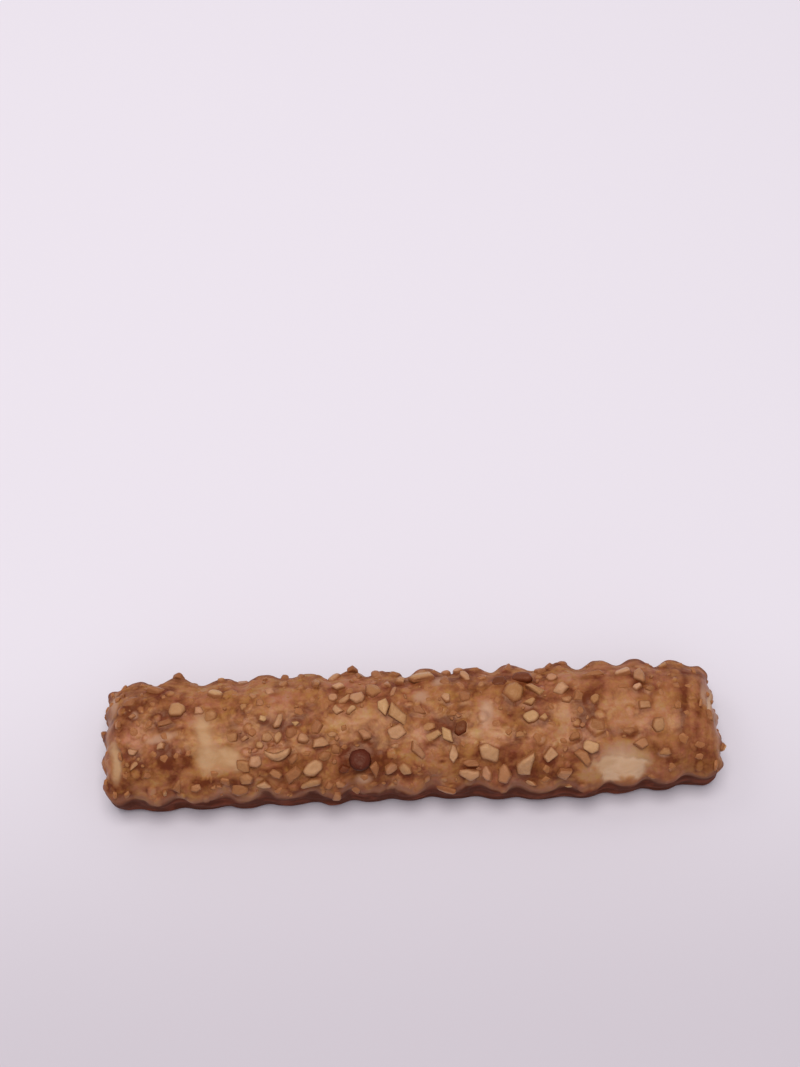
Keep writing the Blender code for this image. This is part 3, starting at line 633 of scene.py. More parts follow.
class Chip:
    """One scrap: where it lies, its sizes, how far it stands out, its kind and its outline."""

    def __init__(self, place, sizes, out, heading, kind):
        self.point, self.normal, tangent = place
        self.length, self.width, self.thickness = sizes
        self.out = out
        self.kind = kind
        self.outline = None
        tangent = (tangent - self.normal * tangent.dot(self.normal)).normalized()
        self.axes = Matrix((tangent, self.normal.cross(tangent), self.normal)).transposed()
        self.axes = self.axes @ Matrix.Rotation(heading, 3, "Z")

    def cut_outline(self, rng):
        """Four to seven corners on a rounded box, moved at random, that fill the length and width. Bent
        and round scraps have ten, and the round one is more even."""
        count = SMOOTH_CORNERS if self.kind in "cd" else int(rng.choice(CORNER_COUNTS))
        uneven = ROUND_UNEVENNESS if self.kind == "d" else 1.0
        turned = uneven * rng.uniform(-CORNER_TURN, CORNER_TURN, count)
        angle = (np.arange(count) + turned) * 2.0 * math.pi / count
        angle = angle + rng.uniform(0.0, 2.0 * math.pi)
        cosine, sine = np.cos(angle), np.sin(angle)
        reach = (np.abs(cosine) ** BOX_POWER + np.abs(sine) ** BOX_POWER) ** (-1.0 / BOX_POWER)
        reach = reach * (1.0 + uneven * rng.uniform(*CORNER_REACH, count))
        corners = np.stack([cosine * reach, sine * reach], axis=-1)
        low, high = corners.min(axis=0), corners.max(axis=0)
        self.outline = (corners - (low + high) / 2.0) / (high - low) * (self.length, self.width)

    def rim_distance(self, points):
        """Distance of points outside the outline, in its plane, and their height over that plane."""
        offset = (points - np.array(self.point)) @ np.array(self.axes)
        ahead = np.roll(self.outline, -1, axis=0) - self.outline
        sideways = np.stack([ahead[:, 1], -ahead[:, 0]], axis=-1)
        sideways /= np.linalg.norm(sideways, axis=1, keepdims=True)
        beyond = offset[:, :2] @ sideways.T - (self.outline * sideways).sum(axis=1)
        return beyond.max(axis=1), offset[:, 2]


def listed_places(form, rows):
    """Surface frame, length, width, heading and kind of each listed chip. Its turn is where the section
    shows at the seen height, and the station moves by what is missing along, in four rounds."""
    turns = np.linspace(0.0, math.pi, FINE)
    for along, seen, length, width, heading, kind in rows:
        station = along * MM / form.half_length
        for _ in range(LOOK_ROUNDS):
            inside = min(abs(station), LAST_STATION)
            shrink = (1.0 - inside**END_SQUARENESS) ** (1.0 / END_SQUARENESS)
            points = form.crust(station, shrink, turns)
            step = np.gradient(points, axis=0)
            outward = np.stack([np.zeros(FINE), -step[:, 2], step[:, 1]], axis=-1)
            outward /= np.linalg.norm(outward, axis=1, keepdims=True)
            along_seen, up_seen = look(points + CHIP_RISE * outward)
            last = int(np.argmax(up_seen))
            turn = float(np.interp(seen * MM, up_seen[:last], turns[:last]))
            station += (along * MM - float(np.interp(turn, turns, along_seen))) / form.half_length
        place = surface_frame(form, station, shrink, turn)
        yield place, length * MM * LISTED_GROWTH, width * MM * LISTED_GROWTH, math.radians(heading), kind


def chip_share(form, point, normal):
    """How likely a scattered chip is kept at a point of the crust, 0 to 1."""
    x, _, z = point
    if z < LOWEST_CHIP:
        return 0.0
    along, up = look(np.array(point))
    for middle, height, half_length, half_height in BARE_PATCHES:
        if math.hypot((along - middle) / half_length, (up - height) / half_height) < 1.0:
            return 0.0
    share = 1.0 if normal.z > TOP_FACING else SIDE_SHARE
    if z < form.lip or abs(normal.x) > END_FACING:
        share = FOOT_SHARE
    if x > SMOOTH_END_FROM:
        share *= SMOOTH_END_SHARE
    if x < LEFT_END_TO:
        share *= LEFT_END_SHARE
    return share


def on_smear(point):
    """Whether a point lies on the large pale smear, paler glaze with a painted highlight in it, where only
    listed scraps are.
    """
    along, seen = np.array(look(np.array(point))) / MM
    return mark_distance(along, seen, PALE_MARKS[0]) < SMEAR_END


def solid_chips(form):
    """The listed chips, then scattered ones where no other chip is near, by the solid's own rule. A
    scattered one has no kind yet."""
    rng = np.random.default_rng(CHIP_SEED)
    chips = []
    for place, length, width, heading, kind in listed_places(form, SHOWN_CHIPS):
        thickness = min(CHIP_THICKNESS[0] + THICKENING * length, CHIP_THICKNESS[1])
        chips.append(Chip(place, (length, width, thickness), CHIP_OUT[1], heading, kind))
    stations, shrinks = form.end_profile()
    length_run = run_length(stations * form.half_length, shrinks * form.half_width)
    turns = np.linspace(0.0, 2.0 * math.pi, 2 * FINE)
    turn_run = run_length(*form.section(turns))
    length = LARGEST_CHIP
    for _ in range(SCATTERED_CHIPS):
        for _ in range(CHIP_TRIES):
            along, around, keep = rng.random(3)
            station = float(np.interp(along * length_run[-1], length_run, stations))
            shrink = float(np.interp(along * length_run[-1], length_run, shrinks))
            turn = float(np.interp(around * turn_run[-1], turn_run, turns))
            if shrink < SMALLEST_SHRINK:
                continue
            place = surface_frame(form, station, shrink, turn)
            if keep > chip_share(form, place[0], place[1]) * shrink:
                continue
            if not any(too_close(place[0], length, other, CHIP_SPACING) for other in chips):
                width = length * rng.uniform(*CHIP_WIDTH)
                thickness = rng.uniform(*CHIP_THICKNESS)
                out = rng.uniform(*CHIP_OUT)
                heading = rng.uniform(0.0, math.pi)
                chips.append(Chip(place, (length, width, thickness), out, heading, ""))
                break
        length *= CHIP_SHRINK
    return chips


def chip_list(form):
    """All scraps but the crumbs: the solid's chips without most of the scattered ones that the eye
    sees, the smaller listed ones, and the covered ones."""
    small = []
    for place, length, width, heading, kind in listed_places(form, SMALL_CHIPS):
        thickness = min(SMALL_THICKNESS_SHARE * width, SMALL_THICKNESS)
        small.append(Chip(place, (length, width, thickness), SMALL_OUT, heading, kind))
    kept = []
    kinds = np.random.default_rng(CHIP_SEED + 2)
    for chip in solid_chips(form):
        kind = SCATTERED_KINDS[int(kinds.integers(0, len(SCATTERED_KINDS)))]
        if chip.kind == "":
            near = any(too_close(chip.point, chip.length, other, SMALL_CLEARANCE) for other in small)
            shown = chip.normal.dot(SIGHT) > TOP_FACING
            if near or shown and kinds.random() > KEPT_SHARE:
                continue
            if on_smear(chip.point):
                continue
            chip.kind = kind
        kept.append(chip)
    kept += small
    kept += covered_scraps(form, kept)
    for chip in kept:
        chip.cut_outline(kinds)
    return kept


def too_close(point, length, chip, spacing):
    """Whether a point is nearer to a chip than a share of both lengths together."""
    return (point - chip.point).length < spacing * (length + chip.length)


def likely_places(form, rng, rows, margin, columns, extra):
    """Surface frames at random grid points above the lip, without end, as often as scattered chips
    are kept there or a little more often. The margin is the number of rows left out at each end."""
    stations, shrinks = form.rows(rows)
    turns = form.turns()
    while True:
        row = int(rng.integers(margin, rows - margin))
        turn = float(turns[int(rng.integers(*columns))])
        place = surface_frame(form, float(stations[row]), float(shrinks[row]), turn)
        share = chip_share(form, place[0], place[1])
        if share > 0.0 and rng.random() <= share + extra:
            yield place


def covered_scraps(form, chips):
    """Small scraps wholly under the glaze, on the dome, where no other scrap is near."""
    rng = np.random.default_rng(CHIP_SEED + 5)
    places = likely_places(form, rng, FINE, COVERED_MARGIN, (4, COLUMNS_ABOVE - 4), COVERED_EXTRA)
    covered = []
    while len(covered) < COVERED_SCRAPS:
        place = next(places)
        length = rng.uniform(*COVERED_LENGTH)
        if on_smear(place[0]):
            continue
        if any(too_close(place[0], length, other, COVERED_SPACING) for other in chips + covered):
            continue
        sizes = (length, length * rng.uniform(*COVERED_WIDTH), COVERED_THICKNESS)
        covered.append(Chip(place, sizes, rng.uniform(*COVERED_OUT), rng.uniform(0.0, math.pi), "v"))
    return covered


def crumb_scraps(form, chips, count):
    """Fine crumbs, on the dome, where no larger scrap covers them."""
    rng = np.random.default_rng(CRUMB_SEED)
    places = likely_places(form, rng, CRUMB_ROWS, CRUMB_MARGIN, (0, COLUMNS_ABOVE), CRUMB_EXTRA)
    crumbs = []
    while len(crumbs) < count:
        place = next(places)
        if on_smear(place[0]) or any(too_close(place[0], 0.0, chip, CRUMB_SPACING) for chip in chips):
            continue
        length = rng.uniform(*CRUMB_LENGTH)
        sizes = (length, length * rng.uniform(*CRUMB_WIDTH), length * CRUMB_THICKNESS)
        crumb = Chip(place, sizes, CRUMB_OUT, rng.uniform(0.0, math.pi), "m")
        crumb.cut_outline(rng)
        crumbs.append(crumb)
    return crumbs


def box_blur(values, reach):
    """Mean over a square of the grid: shifted copies are added round the section, which wraps, and a
    running sum gives the mean along the stick."""
    total = np.zeros_like(values)
    for step in range(-reach, reach + 1):
        total += np.roll(values, step, axis=1)
    total /= 2 * reach + 1
    padded = np.concatenate([np.repeat(total[:1], reach, 0), total, np.repeat(total[-1:], reach, 0)])
    summed = np.cumsum(np.concatenate([np.zeros_like(total[:1]), padded]), axis=0)
    return (summed[2 * reach + 1 :] - summed[: -2 * reach - 1]) / (2 * reach + 1)


def mark_distance(along, seen, mark, power=2.0):
    """Distance from a mark's middle over its half sizes, so that it is 1 at the mark's rim."""
    middle, height, half_length, half_height, turn = mark
    cosine, sine = math.cos(math.radians(turn)), math.sin(math.radians(turn))
    first = ((along - middle) * cosine + (seen - height) * sine) / half_length
    second = ((seen - height) * cosine - (along - middle) * sine) / half_height
    return (np.abs(first) ** power + np.abs(second) ** power) ** (1.0 / power)


def grid_normals(points):
    """Cross product of the steps along the two grid directions, turned outwards."""
    along = np.gradient(points, axis=0)
    around = np.roll(points, -1, axis=1) - np.roll(points, 1, axis=1)
    normals = np.cross(along, around)
    normals /= np.maximum(np.linalg.norm(normals, axis=-1, keepdims=True), 1e-12)
    middle = points.mean(axis=1, keepdims=True)
    facing = ((points - middle) * normals).sum(axis=-1).mean()
    return normals if facing > 0.0 else -normals


def scrap_traces(smooth, chips):
    """What scraps do to the glaze at each point: its rise round them and the shade painted round them, each
    a bell curve of the distance from the nearest outline, and how crowded they are, a sum of wider bell
    curves that paints shade between them."""
    raised = np.zeros(smooth.shape[:2])
    near = np.zeros(smooth.shape[:2])
    crowd = np.zeros(smooth.shape[:2])
    broken = np.clip(layered(smooth, BROKEN_LAYERS), -1.0, 1.0)
    for chip in chips:
        kind = KINDS[chip.kind]
        reach = chip.length * 0.5 + SCRAP_REACH
        close = np.linalg.norm(smooth - np.array(chip.point), axis=-1) < reach
        if not close.any():
            continue
        beyond, off = chip.rim_distance(smooth[close])
        outside = np.maximum(beyond, 0.0)
        same_side = (off > -SCRAP_REACH).astype(float)
        climb = kind.climb * np.exp(-((outside / CLIMB_BREADTH) ** 2)) * same_side
        raised[close] = np.maximum(raised[close], climb)
        crowd[close] += kind.crowding * np.exp(-((outside / CROWD_BREADTH) ** 2)) * same_side
        beyond, _ = chip.rim_distance(smooth[close] + SHADE_SHIFT)
        shade = kind.shade * np.exp(-((np.maximum(beyond, 0.0) / SHADE_BREADTH) ** 2)) * same_side
        shade *= 1.0 - SHADE_BROKEN + SHADE_BROKEN * broken[close]
        near[close] = np.maximum(near[close], shade)
    return raised, near, crowd


def add_lumps(smooth, ragged, raised, near):
    """Lumps with a smooth step for their edge, and a bell curve of painted shade round them."""
    rng = np.random.default_rng(LUMP_SEED)
    picked = rng.integers(0, smooth.shape[0], LUMPS), rng.integers(0, COLUMNS_ABOVE, LUMPS)
    for row, column in zip(*picked):
        centre = smooth[row, column]
        if rng.random() > (SMOOTH_END_LUMPS if centre[0] > SMOOTH_END_FROM else 1.0):
            continue
        radius = rng.uniform(*LUMP_RADIUS)
        height = rng.uniform(*LUMP_HEIGHT) * min(1.0, radius / LUMP_FULL_RADIUS)
        stretch = rng.uniform(*LUMP_STRETCH)
        heading = rng.uniform(0.0, math.pi)
        close = np.linalg.norm(smooth - centre, axis=-1) < LUMP_REACH * radius
        offset = smooth[close] - centre
        first = offset[:, 0] * math.cos(heading) + offset[:, 1] * math.sin(heading)
        second = (offset[:, 1] * math.cos(heading) - offset[:, 0] * math.sin(heading)) / stretch
        share = np.sqrt(first**2 + second**2 + offset[:, 2] ** 2) / radius + LUMP_RAGGED * ragged[close]
        raised[close] = np.maximum(raised[close], height * smooth_step((LUMP_EDGE[0] - share) / LUMP_EDGE[1]))
        rim = np.exp(-(((share - LUMP_RIM[0]) / LUMP_RIM[1]) ** 2)) * smooth_step(height / LUMP_RIM_FULL)
        near[close] = np.maximum(near[close], LUMP_RIM_SHADE * rim)


def seen_masks(smooth, normals, ragged, crowd):
    """Where the dough is bare, where the glaze is pale, partly with painted highlights, and how browned it
    is, with painted shade under the dark nut and where scraps crowd: steps and bell curves of the distance
    from each listed mark, on the side that faces the eye, and noise elsewhere."""
    along, seen = np.array(look(smooth)) / MM
    toward = smooth_step((normals @ np.array(SIGHT) - TOWARD_EYE[0]) / TOWARD_EYE[1])
    bare, pale, tone = 0.0, 0.0, 0.0
    for *mark, edge, power in DOUGH_PATCHES:
        inside = 1.0 - mark_distance(along, seen, mark, power) + BARE_RAGGED * ragged
        bare = np.maximum(bare, smooth_step(inside / edge + BARE_SPREAD))
    # Pale places: paler glaze, and painted highlights of the glaze's sheen
    for mark in PALE_MARKS:
        inside = PALE_END - mark_distance(along, seen, mark) + PALE_RAGGED * ragged
        pale = np.maximum(pale, smooth_step(inside))
    for *mark, strength in TONES:
        tone += TONE_STRENGTH * strength * np.exp(-(mark_distance(along, seen, mark) ** 2))
    # Darker where scraps crowd: painted shade between them
    tone = tone * toward + CROWD_SHADE * np.minimum(crowd, CROWD_LIMIT) - OPEN_LIGHTENING
    tone = tone + layered(smooth, TONE_LAYERS) * (1.0 - TONE_SEEN * toward)
    return bare * toward, pale * toward, tone


def crust_surface(form, chips, relief_height):
    """Grid of the crust with its relief and its masks.

    The relief is layered lattice noise, round lumps, and the rise of the glaze round each chip. The
    masks say where the glaze is browned, thick, pale, missing or a side, and where shade is painted on it
    round scraps and lumps and in hollows; some pale places are painted highlights.
    """
    stations, shrinks = form.rows(ROWS)
    smooth = form.crust(stations[1:-1, None], shrinks[1:-1, None], form.turns()[None, :])
    normals = grid_normals(smooth)
    x, z = smooth[..., 0], smooth[..., 2]
    wander = layered(smooth, WANDER_LAYERS)
    above = smooth_step((z - form.lip + LIP_EDGE + wander) / LIP_BLEND)
    underside = smooth_step((FOOT_EDGE - z) / FOOT_BLEND)
    calm = SMOOTH_END_CALM * smooth_step((x - SMOOTH_END_FROM) / SMOOTH_END_BLEND)
    relief = layered(smooth, GLAZE_LAYERS) * (1.0 - calm) * above
    relief = relief + layered(smooth, SIDE_LAYERS) * (1.0 - above) * (1.0 - underside)
    ragged = layered(smooth, RAGGED_LAYERS)

    raised, near, crowd = scrap_traces(smooth, chips)
    add_lumps(smooth, ragged, raised, near)
    bare, pale, tone = seen_masks(smooth, normals, ragged, crowd)

    height = (relief * (1.0 - BARE_CALM * bare) + raised * (1.0 - bare)) * relief_height
    height = (height - BARE_SUNK * bare * above) * (1.0 - underside)
    height = height * smooth_step((shrinks[1:-1, None] - POLE_CALM[0]) / POLE_CALM[1])
    points = smooth + normals * (height * MM)[..., None]
    points[..., 2] = np.maximum(points[..., 2], np.where(underside > FLAT_UNDERSIDE, z, 0.0))

    # Darker where the relief lies below its surroundings: on the glaze partly glaze that pools there and
    # partly painted shade, on the sides painted shade in their hollows
    cavity = np.clip((box_blur(height, CAVITY_REACH) - height) / CAVITY_DEPTH, -1.0, 1.0)
    over_lip = (z - form.lip + wander) / MM - RIM_HEIGHT + RIM_RAGGED * ragged
    masks = {
        "tone": np.clip(0.5 + 0.5 * tone, 0.0, 1.0),
        # near: shade painted round the scraps and lumps, on the glaze only
        "near": near * above,
        "cavity": 0.5 + 0.5 * cavity,
        "bare": bare,
        # pale: paler glaze, and painted highlights
        "pale": pale,
        "glazed": above,
        "level": np.clip(z / form.lip, 0.0, 1.0),
        "lip": np.exp(-((over_lip / RIM_BREADTH) ** 2)),
    }
    poles = form.crust(stations[[0, -1]], shrinks[[0, -1]], np.zeros(2))
    return points, poles, masks


def new_object(name, mesh, material):
    """An object at the origin that rides on the stick and stands for the solid."""
    made = bpy.data.objects.new(name, mesh)
    bpy.context.scene.collection.objects.link(made)
    mesh.materials.append(material)
    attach(made, BODY)
    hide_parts(NODE)
    return made


def marked_mesh(name, points, faces, attributes):
    """Mesh of those points and faces, smooth, with one number of each attribute at every point."""
    mesh = bpy.data.meshes.new(name)
    mesh.from_pydata(points.tolist(), [], faces)
    mesh.polygons.foreach_set("use_smooth", np.ones(len(mesh.polygons), bool))
    for key, values in attributes.items():
        layer = mesh.attributes.new(key, "FLOAT", "POINT")
        layer.data.foreach_set("value", np.ascontiguousarray(values, np.float32).ravel())
    mesh.update()
    return mesh


def grid_faces(rows, columns):
    """Quads between neighbouring rows of a grid that wraps round its columns, and a fan of triangles
    from each end row to its pole. The two poles come after the grid's points."""
    column = np.arange(columns)
    after = (column + 1) % columns
    row = columns * np.arange(rows - 1)[:, None]
    quads = np.stack([row + column, row + columns + column, row + columns + after, row + after], -1)
    last = (rows - 1) * columns
    left = np.stack([np.full(columns, rows * columns), column, after], -1)
    right = np.stack([np.full(columns, rows * columns + 1), last + after, last + column], -1)
    return quads.reshape(-1, 4).tolist() + left.tolist() + right.tolist()


def crust_object(form, chips, relief_height, material):
    """The crust as one closed surface with its masks as attributes; a pole takes the mean of its row."""
    points, poles, masks = crust_surface(form, chips, relief_height)
    attributes = {
        key: np.concatenate([mask.ravel(), [mask[0].mean(), mask[-1].mean()]])
        for key, mask in masks.items()
    }
    flat = np.concatenate([points.reshape(-1, 3), poles])
    mesh = marked_mesh("crust", flat, grid_faces(*points.shape[:2]), attributes)
    return new_object("crust", facing_out(mesh), material)


def facing_out(mesh):
    """The mesh with its faces pointing outwards: its signed volume, summed over the fan of triangles of
    each face, isn't negative."""
    points = np.empty(len(mesh.vertices) * 3)
    mesh.vertices.foreach_get("co", points)
    points = points.reshape(-1, 3)
    mesh.calc_loop_triangles()
    corners = np.empty(len(mesh.loop_triangles) * 3, np.int32)
    mesh.loop_triangles.foreach_get("vertices", corners)
    a, b, c = points[corners.reshape(-1, 3)].transpose(1, 0, 2)
    if (np.cross(a, b) * c).sum() < 0.0:
        mesh.flip_normals()
    return mesh


def scrap_shape(rng, chip):
    """A chopped scrap: convex hull of its outline and a smaller, leaning top, edges bevelled. The
    round one has two rings towards its top instead."""
    kind = KINDS[chip.kind]
    outline = chip.outline / np.array([chip.length, chip.width]) * 2.0
    count = len(outline)
    lean = rng.uniform(-TOP_LEAN, TOP_LEAN, 2)
    foot = np.column_stack([outline * FOOT_SIZE, np.full(count, -1.0)])
    belly = np.column_stack([outline, rng.uniform(*BELLY_HEIGHT, count)])
    inner = outline * rng.uniform(*TOP_SIZE, (count, 1))
    top = np.column_stack([inner, TOP_HEIGHT + inner @ lean])
    if chip.kind == "d":
        rings = [np.column_stack([outline * size, np.full(count, up)]) for size, up in ROUND_RINGS]
        top = np.concatenate(rings)
    shift = rng.uniform(-CROWN_SHIFT, CROWN_SHIFT, 2)
    crown = np.array([[*shift, TOP_HEIGHT + kind.crown * rng.random()]])
    half_size = np.array([chip.length, chip.width, chip.thickness]) / (2.0 * MM)
    shape = bmesh.new()
    for corner in np.concatenate([foot, belly, top, crown]) * half_size:
        shape.verts.new(corner)
    hull = bmesh.ops.convex_hull(shape, input=shape.verts)
    inner = [item for item in hull["geom_interior"] if isinstance(item, bmesh.types.BMVert)]
    bmesh.ops.delete(shape, geom=inner, context="VERTS")
    bmesh.ops.dissolve_limit(shape, angle_limit=MERGE_ANGLE, verts=shape.verts, edges=shape.edges)
    bmesh.ops.bevel(
        shape,
        geom=list(shape.edges),
        offset=kind.rounding * min(chip.width, ROUNDING_LIMIT * chip.thickness) / MM,
        segments=2,
        profile=0.5,
        affect="EDGES",
        clamp_overlap=True,
    )
    if chip.kind == "c":
        bmesh.ops.poke(shape, faces=shape.faces)
    bmesh.ops.recalc_face_normals(shape, faces=shape.faces)
    shape.verts.index_update()
    points = np.array([vert.co for vert in shape.verts]) * MM
    faces = [[vert.index for vert in face.verts] for face in shape.faces]
    limit = FLAT_FACE * chip.length * chip.width / MM**2
    flat = [face.calc_area() > limit and chip.kind not in "cd" for face in shape.faces]
    shape.free()
    return points, faces, flat


def scrap_object(chips, seed, material):
    """All scraps of one piece in one mesh, each laid on the crust, bent along a parabola, tilted and
    sunk."""
    rng = np.random.default_rng(seed)
    points, faces, flats, height, tint = [], [], [], [], []
    first = 0
    for chip in chips:
        shape, around, flat = scrap_shape(rng, chip)
        bend = 0.0
        if chip.length > SLIM * chip.width:
            bend = rng.choice([-1.0, 1.0]) * rng.uniform(*SLIM_BEND) * chip.width
        if chip.kind == "c":
            bend = CRESCENT_BEND * chip.width
        shape[:, 1] += bend * (shape[:, 0] / (chip.length / 2.0)) ** 2 - bend / 2.0
        tilt = Matrix.Rotation(rng.uniform(-CHIP_TILT, CHIP_TILT), 3, "X")
        tilt = tilt @ Matrix.Rotation(rng.uniform(-CHIP_TILT, CHIP_TILT), 3, "Y")
        turned = np.array(chip.axes @ tilt)
        out = chip.out - 0.5 + KINDS[chip.kind].rise
        middle = np.array(chip.point + chip.normal * chip.thickness * out)
        points.append(middle + shape @ turned.T)
        stands = shape[:, 2] / chip.thickness + out
        height.append(np.clip(stands / (out + CLEAN_RISE), 0.0, 1.0))
        tint.append(np.full(len(shape), rng.random()))
        faces += [[first + corner for corner in face] for face in around]
        flats += flat
        first += len(shape)
    attributes = {"height": np.concatenate(height), "tint": np.concatenate(tint)}
    name = KINDS[chips[0].kind].piece
    mesh = marked_mesh(name, np.concatenate(points), faces, attributes)
    mesh.polygons.foreach_set("use_smooth", ~np.array(flats))
    return new_object(name, facing_out(mesh), material)


def blend(first, second, share):
    """Colour that lies at a share of the way from the first to the second."""
    return tuple((1.0 - share) * a + share * b for a, b in zip(first, second))


def tinted(color, tint):
    """A colour with each of its channels multiplied by the tint's."""
    return tuple(value * share for value, share in zip(color, tint))


class Sock:
    """A socket's value, on which Python's operators add Math nodes."""

    def __init__(self, nodes, socket):
        self.nodes = nodes
        self.socket = socket

    def math(self, operation, first, second=0.0, clamp=False):
        settings = {"operation": operation, "use_clamp": clamp}
        return self.nodes.add("ShaderNodeMath", settings, {0: first, 1: second})["Value"]

    def __add__(self, other):
        return self.math("ADD", self, other)

    def __radd__(self, other):
        return self.math("ADD", other, self)

    def __sub__(self, other):
        return self.math("SUBTRACT", self, other)

    def __rsub__(self, other):
        return self.math("SUBTRACT", other, self)

    def __mul__(self, other):
        return self.math("MULTIPLY", self, other)

    def __rmul__(self, other):
        return self.math("MULTIPLY", other, self)

    def swing(self, strength):
        """How far the value is above or below a half, times a strength."""
        return (self - 0.5) * strength

    def ridge(self):
        """One where the value is a half, falling to zero at 0 and 1."""
        return 1.0 - self.math("ABSOLUTE", self * 2.0 - 1.0)

    def clamp(self):
        """The value held between 0 and 1."""
        return self.math("ADD", self, 0.0, clamp=True)

    def band(self, low, high):
        """How far the value is from low to high, 0 to 1."""
        return ((self - low) * (1.0 / (high - low))).clamp()


class Outputs:
    """The outputs of a node, by name."""

    def __init__(self, nodes, node):
        self.nodes = nodes
        self.node = node

    def __getitem__(self, name):
        return Sock(self.nodes, self.node.outputs[name])


class Nodes:
    """A new material and the making of its nodes."""

    def __init__(self, name):
        self.material = bpy.data.materials.new(name)
        self.material.use_nodes = True
        self.tree = self.material.node_tree
        self.shader = self.tree.nodes["Principled BSDF"]

    def add(self, kind, settings=None, values=None):
        """A node of that type, with its settings made first and then its sockets' values or links."""
        node = self.tree.nodes.new(kind)
        for key, value in (settings or {}).items():
            if key == "stops":
                set_stops(node.color_ramp, value)
            else:
                setattr(node, key, value)
        for key, value in (values or {}).items():
            self.join(value, node.inputs[key])
        return Outputs(self, node)

    def join(self, value, socket):
        """Links a Sock, or sets a value; a colour needs no alpha."""
        if isinstance(value, Sock):
            self.tree.links.new(value.socket, socket)
        elif socket.type == "RGBA":
            socket.default_value = (*value, 1.0)
        else:
            socket.default_value = value

    def set(self, **values):
        """Values or links of the shader's sockets, their names written with underscores."""
        for key, value in values.items():
            self.join(value, self.shader.inputs[key.replace("_", " ")])

    def attribute(self, name):
        """One of the mesh's own numbers."""
        return self.add("ShaderNodeAttribute", {"attribute_name": name})["Fac"]

    def place(self):
        """Object coordinates, each by its letter."""
        point = self.add("ShaderNodeTexCoord")["Object"]
        return self.add("ShaderNodeSeparateXYZ", {}, {"Vector": point})

    def noise(self, size, detail=2.0, roughness=0.5, stretch=(1.0, 1.0, 1.0), seed=0.0, twist=0.0):
        """Noise whose cells are about size metres, on Object coordinates."""
        point = self.add("ShaderNodeTexCoord")["Object"]
        shift = {"Vector": point, "Location": (seed, seed * 0.7, seed * 0.4), "Scale": stretch}
        moved = self.add("ShaderNodeMapping", {}, shift)["Vector"]
        values = {"Vector": moved, "Scale": 1.0 / size, "Detail": detail, "Roughness": roughness}
        return self.add("ShaderNodeTexNoise", {}, {**values, "Distortion": twist})["Fac"]

    def mix(self, share, first, second, blend_type="MIX"):
        """Colour that goes from the first to the second with the share."""
        settings = {"data_type": "RGBA", "blend_type": blend_type, "clamp_factor": True}
        made = self.add("ShaderNodeMix", settings, {0: share, 6: first, 7: second})
        return Sock(self, made.node.outputs[2])

    def tint(self, color, share, first, second):
        """The colour times a tint that goes from the first to the second with a share."""
        return self.mix(1.0, color, self.mix(share, first, second), "MULTIPLY")

    def ramp(self, share, stops):
        """Colours at their places, blended between them."""
        return self.add("ShaderNodeValToRGB", {"stops": list(stops)}, {"Fac": share})["Color"]

    def bump(self, height, distance, strength):
        """Normal of a height whose 1 is that many metres."""
        values = {"Height": height, "Distance": distance, "Strength": strength}
        return self.add("ShaderNodeBump", {}, values)["Normal"]


def set_stops(ramp, stops):
    """Gives a colour ramp those places and colours."""
    while len(ramp.elements) < len(stops):
        ramp.elements.new(1.0)
    for element, (position, color) in zip(ramp.elements, stops):
        element.position = position
        element.color = (*color, 1.0)


def glaze_color(nodes, colors, place, blotch, streak, fine, grain):
    """Caramel from gold to dark brown, browned by the masks and by noise; the masks also paint shade round
    scraps and lumps, in hollows and where scraps crowd, and pale places that are partly painted highlights.
    """
    vein = nodes.noise(0.0048, detail=3.0, roughness=0.6, seed=0.11).ridge().band(0.88, 1.0)
    brushed = nodes.noise(0.0017, detail=3.0, roughness=0.6, stretch=(1.0, 0.16, 0.16), seed=0.3)
    brushed = brushed.swing(0.7) * place["X"].band(*BRUSHED_END)
    calm = 1.0 - place["X"].band(*CALM_END) * 0.4
    browned = nodes.attribute("tone") + (blotch.swing(1.5) + streak.swing(1.1) + fine.swing(0.3)) * calm
    # cavity darkens the glaze in hollows: partly pooled glaze, partly painted shade
    browned = browned + brushed + nodes.attribute("cavity").swing(0.45)
    # The near mask darkens the glaze: painted shade round scraps and lumps
    browned = browned + nodes.attribute("near") * 0.3 + vein * 0.14 - 0.1
    light = colors.glaze_light
    deep = colors.glaze_deep
    middle = tinted(blend(light, deep, 0.5), MIDDLE_TINT)
    shades = (tinted(light, GOLD_TINT), light, middle, deep)
    glaze = nodes.ramp(browned.clamp(), zip(GLAZE_STOPS, shades))
    glaze = nodes.mix(fine.band(0.5, 0.75) * 0.25, glaze, REDDENED)
    glaze = nodes.tint(glaze, grain.band(0.3, 0.7), *GRAIN_TINTS)
    for size, seed in HUE_NOISES:
        hue = nodes.noise(size, detail=3.0, roughness=0.65, seed=seed).band(0.36, 0.64)
        glaze = nodes.tint(glaze, hue, *HUE_TINTS)
    # Pale places take the smear colour: paler glaze, and painted highlights of the glaze's sheen
    return nodes.mix(nodes.attribute("pale") * 0.75, glaze, colors.pale_smear_and_highlight)


